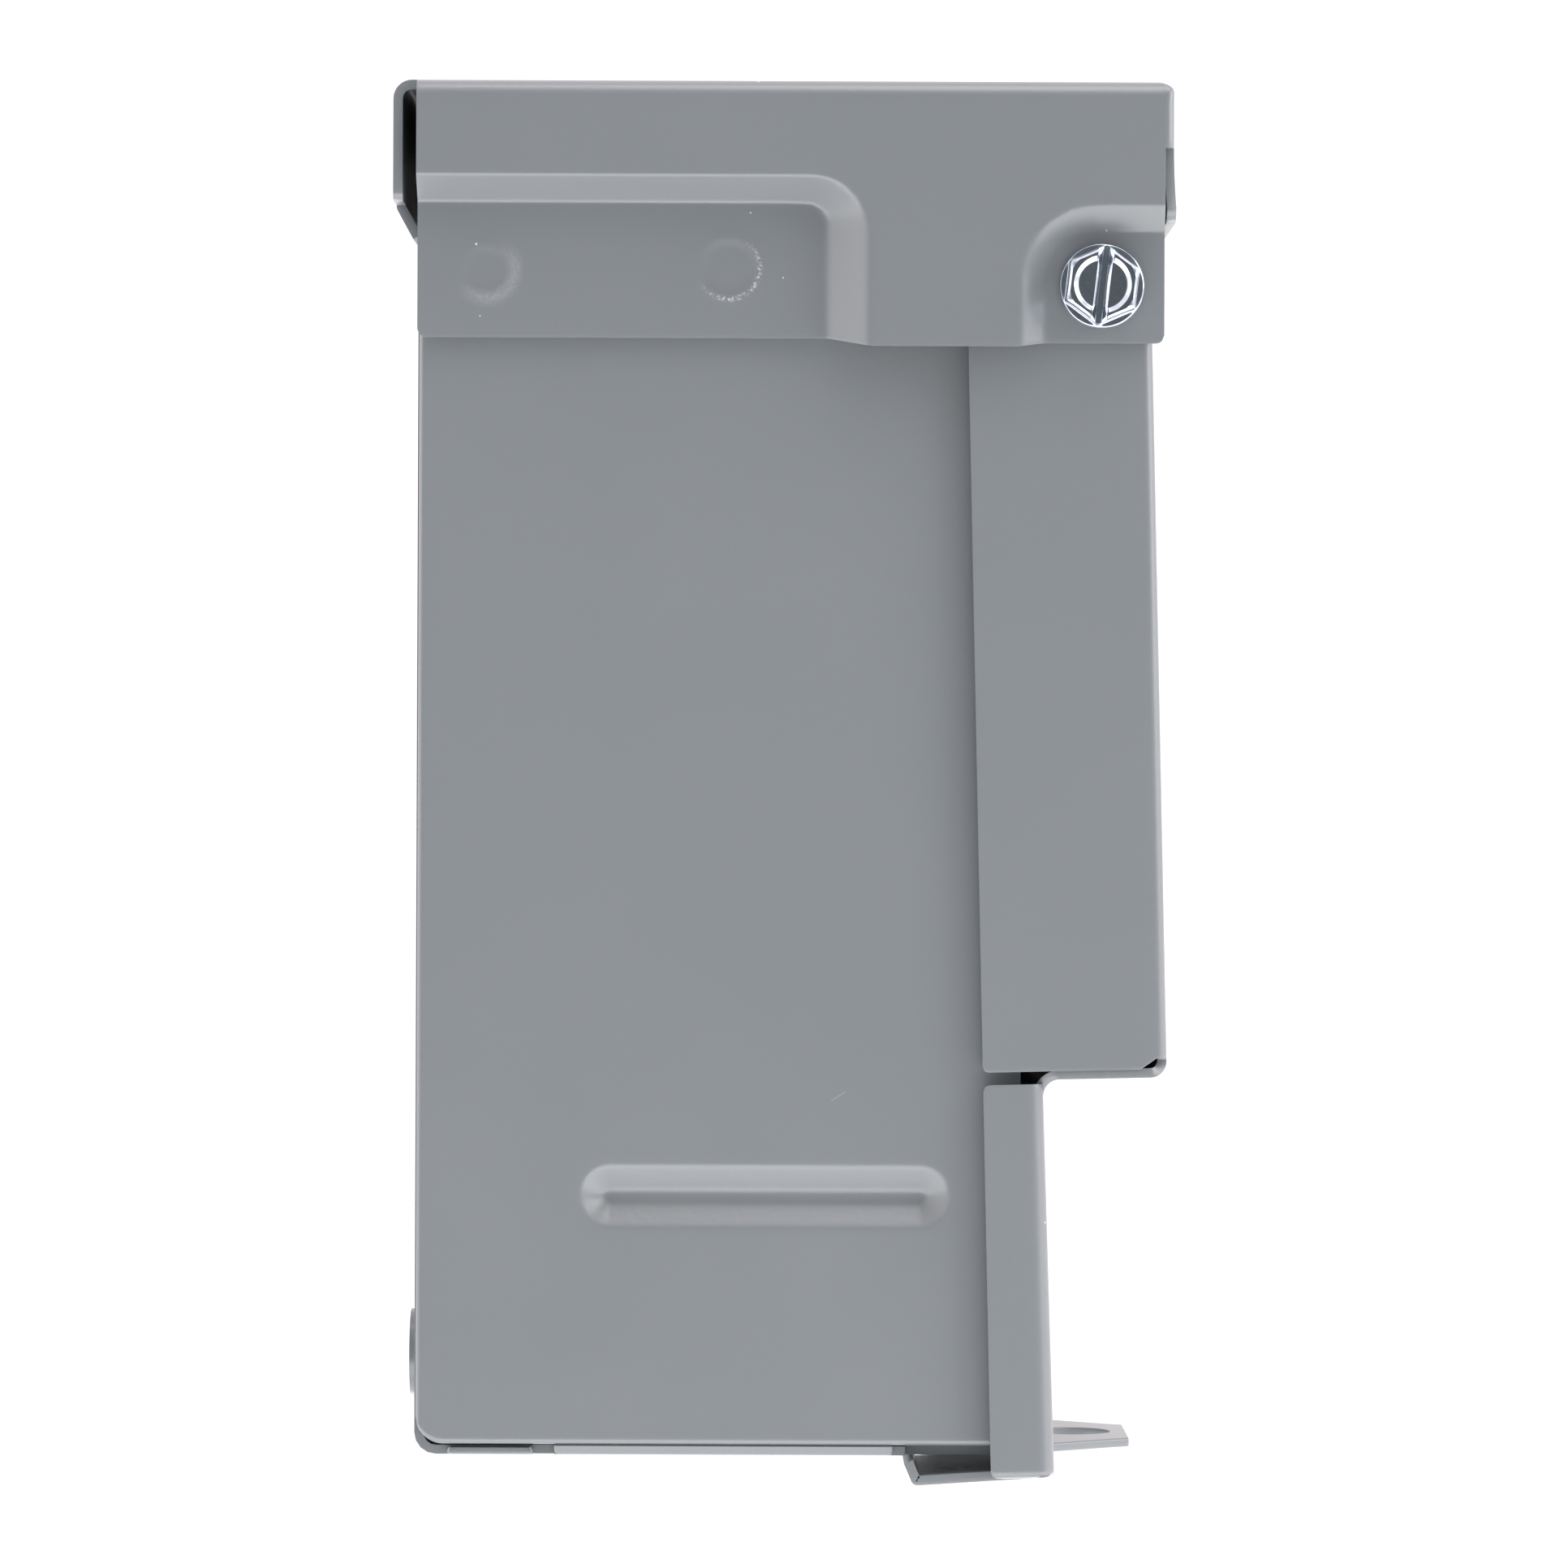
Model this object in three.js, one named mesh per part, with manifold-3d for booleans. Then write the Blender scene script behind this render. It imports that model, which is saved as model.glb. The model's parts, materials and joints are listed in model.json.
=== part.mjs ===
// A 60 A air-conditioner disconnect: a rain-tight sheet-steel box for a wall, with a lift-up front cover,
// a two-pole switch behind a dead front, and a padlock hasp.
// Millimetres, +Z up, the front faces -Y. The origin is the middle of the wall plane, at half the box's height.
//
// The box is drawn as it is measured on a bench: "out" is the distance forwards from the back sheet's outer
// face, and "up" is the height above the underside of the bottom sheet.

import * as THREE from "three";
import { mergeVertices } from "three/addons/utils/BufferGeometryUtils.js";
import Module from "manifold-3d";

const wasm = await Module();
wasm.setup();

// ---------------------------------------------------------------- driving dimensions

const SHEET = 1.3; // painted 18 gauge steel
const GAP = 0.3; // between pieces that touch
const GRID = 1 / 1024; // corners are rounded to this
const HEIGHT = 189.5; // underside of the bottom sheet to the top of the hood
const WALL_GAP = 3.3; // back sheet's outer face to the wall

const BODY_HALF = 56; // half the width over the body's sides
const SIDE_DEPTH = 83.6; // back sheet to the front edge of the sides
const SIDE_TOP = 185;
const BACK_BEND = 3; // outer radius where the back sheet turns into the bottom

const HOOD_HALF = 62.2; // half the width over the hood
const HOOD_FRONT = 104.4; // outer face of the front lip
const SKIRT_FRONT = 103.4; // front edge of the hood's sides
const HOOD_SKIRT = 153; // lower edge of the hood's sides
const HOOD_LIP = 170.2; // lower edge of the hood's front
const CLINCH_PAD_DROP = 4.6; // how far the pads are pressed in from the hood's sides
const HINGE_PAD_DROP = 2.1;

const PIVOT_OUT = 94.2; // the cover's hinge line
const PIVOT_UP = 161.4;
const COVER_TILT = 1.35; // degrees that the cover hangs open by its own weight
const COVER_HALF = 58.5;
const COVER_FACE = 7; // hinge line to the cover's upper face
const COVER_FLANGE = 25.4; // depth of the cover's upper side flanges
const STEP_DOWN = 109; // hinge line to the underside of the step
const STEP_BACK = 17.1; // depth of the step
const COVER_FOOT = 163.9; // hinge line to the underside of the cover

const HASP_HOLE = 5.75; // radius
const HASP_HOLE_OUT = 92.8;
const HASP_TIP = 100.9;

const CASE_HALF = 26; // the switch
const CASE_BACK = 14;
const CASE_SPLIT = 40;
const CASE_FACE = 66;
const CASE_LOW = 72;
const CASE_TOP = 140;
const POLE = 12.7; // centre of the switch to the centre of a pole
const TOGGLE_OUT = 58;
const TOGGLE_UP = 106;
const TOGGLE_THROW = 18; // degrees each side of the middle
const BAR_OUT = 31; // the crossbar that carries the contact arms
const BAR_UP = 92;

const DEAD_FRONT_OUT = 66.8;

// ---------------------------------------------------------------- materials

function finish(color, roughness, metalness) {
  return new THREE.MeshStandardMaterial({ color, roughness, metalness });
}

const paint = finish(0x8b9094, 0.45, 0);
const zinc = finish(0xc4cad2, 0.25, 1);
const aluminium = finish(0xb4b6b8, 0.4, 1);
const copper = finish(0xb87a52, 0.35, 1);
const silver = finish(0xd8d6d0, 0.3, 1);
const blackPlastic = finish(0x1b1c1d, 0.55, 0);
const togglePlastic = finish(0x26282a, 0.35, 0);
const redPlastic = finish(0x8c1f1a, 0.5, 0);
const nylon = finish(0xd9d6c8, 0.6, 0);
const springSteel = finish(0x8f9296, 0.35, 1);

// ---------------------------------------------------------------- solids

// Every corner is put on a fine grid, so that faces which should meet do so exactly.
function solid(geometry) {
  const bare = geometry.index ? geometry.toNonIndexed() : geometry;
  bare.deleteAttribute("normal");
  bare.deleteAttribute("uv");
  const places = bare.attributes.position.array;
  places.forEach((value, i) => (places[i] = Math.round(value / GRID) * GRID));
  const merged = mergeVertices(bare, 1e-4);
  return new wasm.Manifold(
    new wasm.Mesh({
      numProp: 3,
      vertProperties: merged.attributes.position.array,
      triVerts: new Uint32Array(merged.index.array),
    }),
  );
}

function geometryOf(made) {
  const mesh = made.getMesh();
  const points = new Float32Array(mesh.numVert * 3);
  for (let i = 0; i < mesh.numVert; i++) {
    points.set(mesh.vertProperties.subarray(i * mesh.numProp, i * mesh.numProp + 3), i * 3);
  }
  return new THREE.BufferGeometry()
    .setAttribute("position", new THREE.BufferAttribute(points, 3))
    .setIndex(new THREE.BufferAttribute(mesh.triVerts, 1));
}

function joined(...solids) {
  return solids.reduce((all, next) => all.add(next));
}

function cutBy(made, ...cutters) {
  return cutters.reduce((all, next) => all.subtract(next), made);
}

function vectors(points) {
  return points.map(([a, b]) => new THREE.Vector2(a, b));
}

const AXES = {
  // shape's x, shape's y and the way it is extruded, in the box's frame
  across: [new THREE.Vector3(0, -1, 0), new THREE.Vector3(0, 0, 1), new THREE.Vector3(-1, 0, 0)],
  out: [new THREE.Vector3(1, 0, 0), new THREE.Vector3(0, 0, 1), new THREE.Vector3(0, -1, 0)],
  up: [new THREE.Vector3(1, 0, 0), new THREE.Vector3(0, -1, 0), new THREE.Vector3(0, 0, -1)],
};

// A flat outline carried along one axis, from one station to another.
// across: the outline is (out, up); out: it is (x, up); up: it is (x, out).
function extruded(outline, axis, from, to) {
  const shape = outline instanceof THREE.Shape ? outline : new THREE.Shape(vectors(outline));
  const geometry = new THREE.ExtrudeGeometry(shape, { depth: to - from, bevelEnabled: false });
  const start = { across: [to, 0, 0], out: [0, -from, 0], up: [0, 0, to] }[axis];
  return solid(
    geometry.applyMatrix4(new THREE.Matrix4().makeBasis(...AXES[axis]).setPosition(...start)),
  );
}

function block([x0, x1], [out0, out1], [up0, up1]) {
  return extruded([[x0, up0], [x1, up0], [x1, up1], [x0, up1]], "out", out0, out1);
}

function disc(radius, [a, b], sides = 16, turn = 0) {
  const points = [];
  for (let i = 0; i < sides; i++) {
    const angle = turn + (2 * Math.PI * i) / sides;
    points.push([a + radius * Math.cos(angle), b + radius * Math.sin(angle)]);
  }
  return points;
}

function rod(radius, axis, centre, from, to, sides = 16) {
  return extruded(disc(radius, centre, sides), axis, from, to);
}

// The outline of a bent sheet: a middle line with rounded corners, and half the sheet's thickness each side.
function bentStrip(corners, radius, steps = 3) {
  const line = [];
  const at = corners.map(([a, b]) => new THREE.Vector2(a, b));
  at.forEach((corner, i) => {
    const before = at[i - 1];
    const after = at[i + 1];
    if (!before || !after) {
      const along = before ? corner.clone().sub(before) : after.clone().sub(corner);
      line.push([corner, along.normalize()]);
      return;
    }
    const arriving = corner.clone().sub(before).normalize();
    const leaving = after.clone().sub(corner).normalize();
    const turn = Math.atan2(arriving.cross(leaving), arriving.dot(leaving));
    const setback = radius * Math.tan(Math.abs(turn) / 2);
    const centre = corner
      .clone()
      .addScaledVector(arriving, -setback)
      .addScaledVector(new THREE.Vector2(-arriving.y, arriving.x), radius * Math.sign(turn));
    for (let k = 0; k <= steps; k++) {
      const heading = arriving.clone().rotateAround(new THREE.Vector2(), (turn * k) / steps);
      const spoke = new THREE.Vector2(heading.y, -heading.x).multiplyScalar(radius * Math.sign(turn));
      line.push([centre.clone().add(spoke), heading]);
    }
  });
  const side = (sign) =>
    line.map(([p, d]) => [p.x - sign * d.y * (SHEET / 2), p.y + sign * d.x * (SHEET / 2)]);
  return [...side(-1), ...side(1).reverse()];
}

// A pressed sheet on one side of the box: its outer face lies at halfWidth, less the depth of the pressing.
function pressedSheet(sign, halfWidth, outs, ups, pressedIn) {
  const columns = outs.length;
  const points = [];
  for (const inner of [0, SHEET]) {
    for (const up of ups) {
      for (const out of outs) {
        points.push(sign * (halfWidth - pressedIn(out, up) - inner), -out, up);
      }
    }
  }
  const faces = [];
  const layer = columns * ups.length;
  const quad = (a, b, c, d) => (sign > 0 ? faces.push(a, c, b, a, d, c) : faces.push(a, b, c, a, c, d));
  for (let j = 0; j + 1 < ups.length; j++) {
    for (let i = 0; i + 1 < columns; i++) {
      const k = j * columns + i;
      quad(k, k + 1, k + 1 + columns, k + columns);
      quad(layer + k, layer + k + columns, layer + k + 1 + columns, layer + k + 1);
    }
  }
  const rim = (a, b) => quad(a, layer + a, layer + b, b);
  const last = columns * (ups.length - 1);
  for (let i = 0; i + 1 < columns; i++) {
    rim(i, i + 1);
    rim(last + i + 1, last + i);
  }
  for (let j = 0; j + 1 < ups.length; j++) {
    rim((j + 1) * columns, j * columns);
    rim(j * columns + columns - 1, (j + 1) * columns + columns - 1);
  }
  return solid(
    new THREE.BufferGeometry()
      .setAttribute("position", new THREE.BufferAttribute(new Float32Array(points), 3))
      .setIndex(faces),
  );
}

// 0 outside, 1 inside, with a straight ramp between the two values.
function ramp(value, from, to) {
  return THREE.MathUtils.clamp((value - from) / (to - from), 0, 1);
}

// ---------------------------------------------------------------- the scene graph

const disconnect = new THREE.Group();
const box = new THREE.Group();
box.position.set(0, -WALL_GAP, -HEIGHT / 2);
disconnect.add(box);

function place(name, made, material, group = box) {
  const mesh = new THREE.Mesh(geometryOf(made), material);
  mesh.name = name;
  group.add(mesh);
  return mesh;
}

const SIDES = [
  ["left", -1],
  ["right", 1],
];

function mirrored(sign, near, far) {
  return sign > 0 ? [near, far] : [-far, -near];
}

// ---------------------------------------------------------------- enclosure: back and bottom, two sides

const BEAD = { from: 22.9, to: 73.9, low: 31.3, high: 39.8, drop: 2.2 };
const BEAD_SLOPE = { end: 3.4, lower: 2.7, upper: 4 }; // widths of its sloping walls

// A long bead pressed into each side to stiffen it, with sloping walls and ends.
function beadDepth(out, up) {
  const { end, lower, upper } = BEAD_SLOPE;
  const ends = Math.min(ramp(out, BEAD.from, BEAD.from + end), ramp(out, BEAD.to, BEAD.to - end));
  const walls = Math.min(ramp(up, BEAD.low, BEAD.low + lower), ramp(up, BEAD.high, BEAD.high - upper));
  return BEAD.drop * Math.min(ends, walls);
}

const LAP = 1.6; // the sides' inner flanges lie this far in from the back and bottom sheets' outer faces
const HINGE_BORE = 3.45; // radius of the hinge screw's hole in body and hood

// A side: flat, with the bead, an ear for the hinge screw, and inner flanges welded to back and bottom.
function bodySide(side, sign) {
  const [x0, x1] = mirrored(sign, BODY_HALF - SHEET, BODY_HALF);
  const ear = disc(6, [PIVOT_OUT, PIVOT_UP], 12)
    .filter(([out, up]) => out - PIVOT_OUT > -0.5 * (up - PIVOT_UP) - 1)
    .sort((a, b) => a[1] - b[1]);
  const [rear, lower] = [0.2, 1.5];
  const corner = [[rear, 5.4], [0.7, 3.5], [2.1, 2], [4.1, lower]];
  const front = [[SIDE_DEPTH, lower], [SIDE_DEPTH, 144], ...ear, [SIDE_DEPTH, 170], [SIDE_DEPTH, SIDE_TOP]];
  const outline = new THREE.Shape(vectors([...corner, ...front, [rear, SIDE_TOP]]));
  const margin = 1;
  const [out0, out1] = [BEAD.from - margin, BEAD.to + margin];
  const [up0, up1] = [BEAD.low - margin, BEAD.high + margin];
  const patch = [[out0, up0], [out0, up1], [out1, up1], [out1, up0]];
  outline.holes.push(new THREE.Path(vectors(patch)));
  const lap = 0.2; // the pressed patch runs this far into the flat sheet
  const { end, lower: lowerSlope, upper: upperSlope } = BEAD_SLOPE;
  const outs = [out0 - lap, BEAD.from, BEAD.from + end, BEAD.to - end, BEAD.to, out1 + lap];
  const ups = [up0 - lap, BEAD.low, BEAD.low + lowerSlope, BEAD.high - upperSlope, BEAD.high, up1 + lap];
  const pressed = pressedSheet(sign, BODY_HALF, outs, ups, beadDepth);
  const hinge = rod(HINGE_BORE, "across", [PIVOT_OUT, PIVOT_UP], x0 - 1, x1 + 1);
  const root = BODY_HALF - SHEET + 0.1;
  const flanges = [
    block(mirrored(sign, 51, root), [LAP, LAP + SHEET], [8, 150]),
    block(mirrored(sign, 44, root), [6, 66], [LAP, LAP + SHEET]),
  ];
  const sheet = joined(extruded(outline, "across", x0, x1), pressed, ...flanges);
  place(`side_${side}`, sheet.subtract(hinge), paint);
}

// A round knockout: the disc is sheared through all round, apart from two ties that hold it.
function knockoutSlot(outer, centre, axis, from, to) {
  const width = 0.5;
  const knockout = rod(outer - width, axis, centre, from - 1, to + 1, 24);
  const ring = rod(outer, axis, centre, from, to, 24).subtract(knockout);
  const [a, b] = centre;
  const tie = 1.6;
  const ties =
    axis === "up"
      ? block([a - outer - 1, a + outer + 1], [b - tie, b + tie], [from - 2, to + 2])
      : block([a - outer - 1, a + outer + 1], [from - 2, to + 2], [b - tie, b + tie]);
  return ring.subtract(ties);
}

const WALL_PAD = 6.4; // radius of the pad that keeps the back off the wall
const WALL_PAD_UP = 9.8;
const WALL_HOLE_UP = 163.5;
const BRACKET_FOOT = [67, 145]; // heights of the bracket's two screws
const GROUND_BAR = { x: [12, 50.5], out: [1.6, 10.6], up: [32, 40], bolt: 46.3 };

function backAndBottom() {
  const middle = SHEET / 2;
  const half = BODY_HALF - SHEET - GAP;
  const wrap = extruded(
    bentStrip([[middle, SIDE_TOP], [middle, middle], [82, middle]], BACK_BEND - middle, 4),
    "across",
    -half,
    half,
  );
  // The bottom sheet is cut back at its front corners, over the cover's hook, and has a relief further back.
  const notches = SIDES.flatMap(([, sign]) => [
    block(mirrored(sign, 52.6, BODY_HALF), [67.9, 90], [-1, 2]),
    block(mirrored(sign, half - 1, BODY_HALF), [16.4, 19.4], [-1, 2]),
  ]);
  const padRise = WALL_GAP - 0.1;
  // A dimple that stands off the wall, hollow inside, round the lower fixing hole.
  const pad = rod(WALL_PAD, "out", [0, WALL_PAD_UP], -padRise, 0.3, 20);
  const padHollow = rod(WALL_PAD - SHEET, "out", [0, WALL_PAD_UP], -padRise + SHEET, 2, 20);
  const holes = [
    rod(3, "out", [0, WALL_PAD_UP], -5, 3, 12),
    rod(5, "out", [0, WALL_HOLE_UP - 6], -2, 3, 16),
    block([-2.6, 2.6], [-2, 3], [WALL_HOLE_UP - 6, WALL_HOLE_UP + 3]),
    ...BRACKET_FOOT.map((up) => rod(2.3, "out", [0, up], -2, 3, 12)),
    rod(2.3, "out", [GROUND_BAR.bolt, 36], -2, 3, 12),
  ];
  const knockouts = [
    knockoutSlot(14.3, [-26, 28], "up", -1, 3),
    knockoutSlot(14.3, [26, 28], "up", -1, 3),
    knockoutSlot(11.2, [-24, 34], "out", -1, 3),
  ];
  place("back_and_bottom", cutBy(wrap.add(pad), padHollow, ...holes, ...knockouts, ...notches), paint);
}

// ---------------------------------------------------------------- rain hood

const CLINCH_PAD = { edge: 62.2, foot: 56.4, high: 176.3, low: 173 };
const HINGE_PAD = { edge: 83, foot: 86.5, high: 172.5, low: 168.8 };

// Two pads pressed into each side of the hood: a deep one at the clinches, a shallow one at the hinge screw.
function hoodPads(out, up) {
  const { edge, foot, high, low } = CLINCH_PAD;
  const clinch = CLINCH_PAD_DROP * Math.min(ramp(out, edge, foot), ramp(up, high, low));
  const { edge: hingeEdge, foot: hingeFoot, high: hingeHigh, low: hingeLow } = HINGE_PAD;
  const hinge = HINGE_PAD_DROP * Math.min(ramp(out, hingeEdge, hingeFoot), ramp(up, hingeHigh, hingeLow));
  return Math.max(clinch, hinge);
}

function rainHood() {
  const middle = SHEET / 2;
  const sidesFrom = CLINCH_PAD.high + 0.6;
  const bend = 2.6;
  const flat = HOOD_HALF - bend - 0.2;
  const crown = bentStrip(
    [
      [-(HOOD_HALF - middle), sidesFrom],
      [-(HOOD_HALF - middle), HEIGHT - middle],
      [HOOD_HALF - middle, HEIGHT - middle],
      [HOOD_HALF - middle, sidesFrom],
    ],
    bend - middle,
  );
  const top = extruded(crown, "out", 0, SKIRT_FRONT);
  const rear = -WALL_GAP + middle;
  const frontLine = HOOD_FRONT - middle;
  const lane = [
    [-0.9, 168.2],
    [rear, 173.2],
    [rear, HEIGHT - middle],
    [frontLine, HEIGHT - middle],
    [frontLine, HOOD_LIP],
  ];
  const topAndEnds = extruded(bentStrip(lane, 2), "across", -flat, flat);
  const outs = [0, CLINCH_PAD.foot, CLINCH_PAD.edge, HINGE_PAD.edge, HINGE_PAD.foot, SKIRT_FRONT];
  const ups = [HOOD_SKIRT, HINGE_PAD.low, HINGE_PAD.high, CLINCH_PAD.low, CLINCH_PAD.high, sidesFrom + 0.4];
  const skirts = SIDES.map(([, sign]) => pressedSheet(sign, HOOD_HALF, outs, ups, hoodPads));
  const lip = [HOOD_FRONT - SHEET, HOOD_FRONT];
  const lipEnds = SIDES.map(([, sign]) =>
    block(mirrored(sign, flat - 1, HOOD_HALF - 0.5), lip, [HOOD_LIP, HEIGHT - bend]),
  );
  const trims = SIDES.flatMap(([, sign]) => [
    block(mirrored(sign, 50, HOOD_HALF + 1), [-WALL_GAP - 1, -0.1], [160, 173]),
    rod(HINGE_BORE, "across", [PIVOT_OUT, PIVOT_UP], ...mirrored(sign, 55, HOOD_HALF + 1)),
  ]);
  place("rain_hood", cutBy(joined(top, topAndEnds, ...skirts, ...lipEnds), ...trims), paint);
}

// ---------------------------------------------------------------- padlock hasp

function padlockHasp() {
  const lane = bentStrip([[46, -0.95], [69, -0.95], [73, -1.95], [HASP_TIP, -1.95]], 2, 2);
  const strap = extruded(lane, "across", -30, 30);
  const half = [[16, 46], [21, 72], [21, 88], [12.5, 98.5], [11, HASP_TIP]];
  const plan = [...half, ...half.map(([x, out]) => [-x, out]).reverse()];
  const outline = extruded(plan, "up", -5, 5);
  const hole = rod(HASP_HOLE, "up", [0, HASP_HOLE_OUT], -6, 6, 24);
  place("padlock_hasp", strap.intersect(outline).subtract(hole), paint);
}

// ---------------------------------------------------------------- screws

// A cylinder along +Z.
function cylinder(radius, low, high, sides, turn = 0) {
  const shape = new THREE.Shape(vectors(disc(radius, [0, 0], sides, turn)));
  const geometry = new THREE.ExtrudeGeometry(shape, { depth: high - low, bevelEnabled: false });
  return solid(geometry.translate(0, 0, low));
}

// A slotted hex washer-head screw, drawn head up along +Z with the underside of the washer at 0.
function hexWasherScrew({ shank, length, washer, flats, washerThick, headHigh, slotWide, slotDeep }) {
  const head = joined(
    cylinder(shank, -length, 0.1, 14),
    cylinder(washer, 0, washerThick, 28),
    cylinder(flats / Math.sqrt(3), washerThick - 0.1, headHigh, 6, Math.PI / 2),
  );
  const slot = solid(
    new THREE.BoxGeometry(slotWide, 4 * flats, 2 * slotDeep).translate(0, 0, headHigh),
  );
  return head.subtract(slot);
}

// A slotted cheese-head screw, drawn the same way.
function slottedScrew({ shank, length, head, headHigh, slotDeep = 0.8, sides = 14 }) {
  const made = joined(cylinder(shank, -length, 0.1, sides), cylinder(head, 0, headHigh, sides));
  const slot = new THREE.BoxGeometry(1, 3 * head, 2 * slotDeep).translate(0, 0, headHigh);
  return made.subtract(solid(slot));
}

function screwFacing(name, made, material, [x, out, up], facing) {
  const mesh = place(name, made, material);
  mesh.position.set(x, -out, up);
  if (facing === "front") mesh.rotation.x = Math.PI / 2;
  if (facing === "left") mesh.rotation.y = -Math.PI / 2;
  if (facing === "right") mesh.rotation.y = Math.PI / 2;
  return mesh;
}

function hinge() {
  const screw = {
    shank: 3.1,
    length: 8.2,
    washer: 5.85,
    flats: 9.5,
    washerThick: 1,
    headHigh: 4.3,
    slotWide: 1.5,
    slotDeep: 1.6,
  };
  const headSeat = HOOD_HALF - HINGE_PAD_DROP + GAP;
  const line = [PIVOT_OUT, PIVOT_UP];
  for (const [side, sign] of SIDES) {
    screwFacing(`hinge_screw_${side}`, hexWasherScrew(screw), zinc, [sign * headSeat, ...line], side);
    const between = mirrored(sign, BODY_HALF + GAP, COVER_HALF - SHEET - GAP);
    const washer = rod(5.4, "across", line, ...between, 20);
    const bore = rod(3.4, "across", line, ...mirrored(sign, BODY_HALF - 1, COVER_HALF));
    place(`pivot_washer_${side}`, washer.subtract(bore), nylon);
  }
}

// ---------------------------------------------------------------- front cover, drawn about its hinge line

const HOOK_END = 29.1; // hinge line back to the cover's hook
const LOWER_FACE = COVER_FACE - STEP_BACK;

function frontCover() {
  const hang = new THREE.Group();
  hang.position.set(0, -PIVOT_OUT, PIVOT_UP);
  hang.rotation.x = -THREE.MathUtils.degToRad(COVER_TILT);
  box.add(hang);

  const half = SHEET / 2;
  const inner = COVER_HALF - SHEET;
  const front = extruded(
    bentStrip(
      [
        [COVER_FACE - half, 20],
        [COVER_FACE - half, -STEP_DOWN + half],
        [LOWER_FACE - half, -STEP_DOWN + half],
        [LOWER_FACE - half + 0.5, -COVER_FOOT + half],
        [-HOOK_END + half, -COVER_FOOT - 0.25],
        [-HOOK_END - 0.35, -COVER_FOOT + 2.7],
      ],
      1.6,
    ),
    "across",
    -inner - 0.1,
    inner + 0.1,
  );
  const rearEdge = COVER_FACE - COVER_FLANGE;
  const upper = [
    [rearEdge, -STEP_DOWN + 1],
    [COVER_FACE - 0.4, -STEP_DOWN + 1],
    [COVER_FACE, -STEP_DOWN + 2.5],
    [COVER_FACE, -8],
    [5.6, -7],
    [5.6, 4],
    [3.2, 7.5],
    [-1, 9],
    [rearEdge, 9],
  ];
  const lower = [
    [rearEdge, -COVER_FOOT + 0.6],
    [rearEdge + 0.6, -COVER_FOOT],
    [LOWER_FACE - 0.6, -COVER_FOOT],
    [LOWER_FACE + 0.5, -COVER_FOOT + 1.6],
    [LOWER_FACE, -STEP_DOWN - 0.6],
    [rearEdge, -STEP_DOWN - 0.6],
  ];
  const flanges = SIDES.flatMap(([, sign]) => {
    const [x0, x1] = mirrored(sign, inner, COVER_HALF);
    return [extruded(upper, "across", x0, x1), extruded(lower, "across", x0, x1)];
  });
  // The top edge is narrower, to pass between the body's sides; the foot is notched round the hasp.
  const notches = SIDES.flatMap(([, sign]) => [
    block(mirrored(sign, 54.1, inner), [0, 12], [-7.5, 30]),
    rod(3.5, "across", [0, 0], ...mirrored(sign, 50, 70), 16),
  ]);
  const haspNotch = block([-25, 25], [-40, 6], [-COVER_FOOT - 5, -COVER_FOOT + 3.4]);
  place("front_cover", cutBy(joined(front, ...flanges), ...notches, haspNotch), paint, hang);
}

// ---------------------------------------------------------------- switch bracket and dead front

function switchBracket() {
  const [low, high] = BRACKET_FOOT;
  const foot = 2.25;
  const seat = CASE_BACK - GAP - SHEET / 2;
  const reach = 6; // the feet reach this far above and below their screws
  const lane = [
    [foot, low - reach],
    [foot, low + reach],
    [seat, low + reach],
    [seat, high - reach],
    [foot, high - reach],
    [foot, high + reach],
  ];
  const hat = extruded(bentStrip(lane, 1.2, 2), "across", -CASE_HALF, CASE_HALF);
  const holes = [low, high].map((up) => rod(2.4, "out", [0, up], 0, 4, 12));
  place("switch_bracket", cutBy(hat, ...holes, ...caseScrewHoles(5, CASE_BACK)), paint);
  BRACKET_FOOT.forEach((up, i) => {
    const screw = slottedScrew({ shank: 2, length: 4.6, head: 4, headHigh: 2.4 });
    const seatAt = [0, foot + SHEET / 2 + GAP, up];
    screwFacing(`bracket_screw_${["lower", "upper"][i]}`, screw, zinc, seatAt, "front");
  });
}

const WINDOW = { half: 15.2, low: 88.8, high: 123.2 };
const DEAD_FRONT_SCREW = { x: 45, up: 107 };

function deadFront() {
  const half = SHEET / 2;
  const [low, high] = [61, 152];
  const face = DEAD_FRONT_OUT + half;
  const rim = face - 9;
  const section = bentStrip([[rim, low], [face, low], [face, high], [rim, high]], 1.4);
  const pan = extruded(section, "across", -53.6, 53.6);
  const window = block([-WINDOW.half, WINDOW.half], [60, 72], [WINDOW.low, WINDOW.high]);
  const holes = SIDES.map(([, sign]) =>
    rod(2.4, "out", [sign * DEAD_FRONT_SCREW.x, DEAD_FRONT_SCREW.up], 60, 72, 12),
  );
  place("dead_front", cutBy(pan, window, ...holes), paint);
  for (const [side, sign] of SIDES) {
    const wall = BODY_HALF - SHEET - GAP;
    const [leg0, leg1] = mirrored(sign, wall - SHEET, wall);
    const [foot0, foot1] = mirrored(sign, 38, wall);
    const up = [DEAD_FRONT_SCREW.up - 9, DEAD_FRONT_SCREW.up + 9];
    const seat = DEAD_FRONT_OUT - GAP;
    const leg = block([leg0, leg1], [50, seat], up);
    const angle = leg.add(block([foot0, foot1], [seat - SHEET, seat], up));
    const hole = rod(2.3, "out", [sign * DEAD_FRONT_SCREW.x, DEAD_FRONT_SCREW.up], 60, 70, 12);
    place(`dead_front_bracket_${side}`, angle.subtract(hole), paint);
    const screw = slottedScrew({ shank: 2, length: 6, head: 4.2, headHigh: 2.4 });
    const at = [sign * DEAD_FRONT_SCREW.x, DEAD_FRONT_OUT + SHEET + GAP, DEAD_FRONT_SCREW.up];
    screwFacing(`dead_front_screw_${side}`, screw, zinc, at, "front");
  }
}

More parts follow.
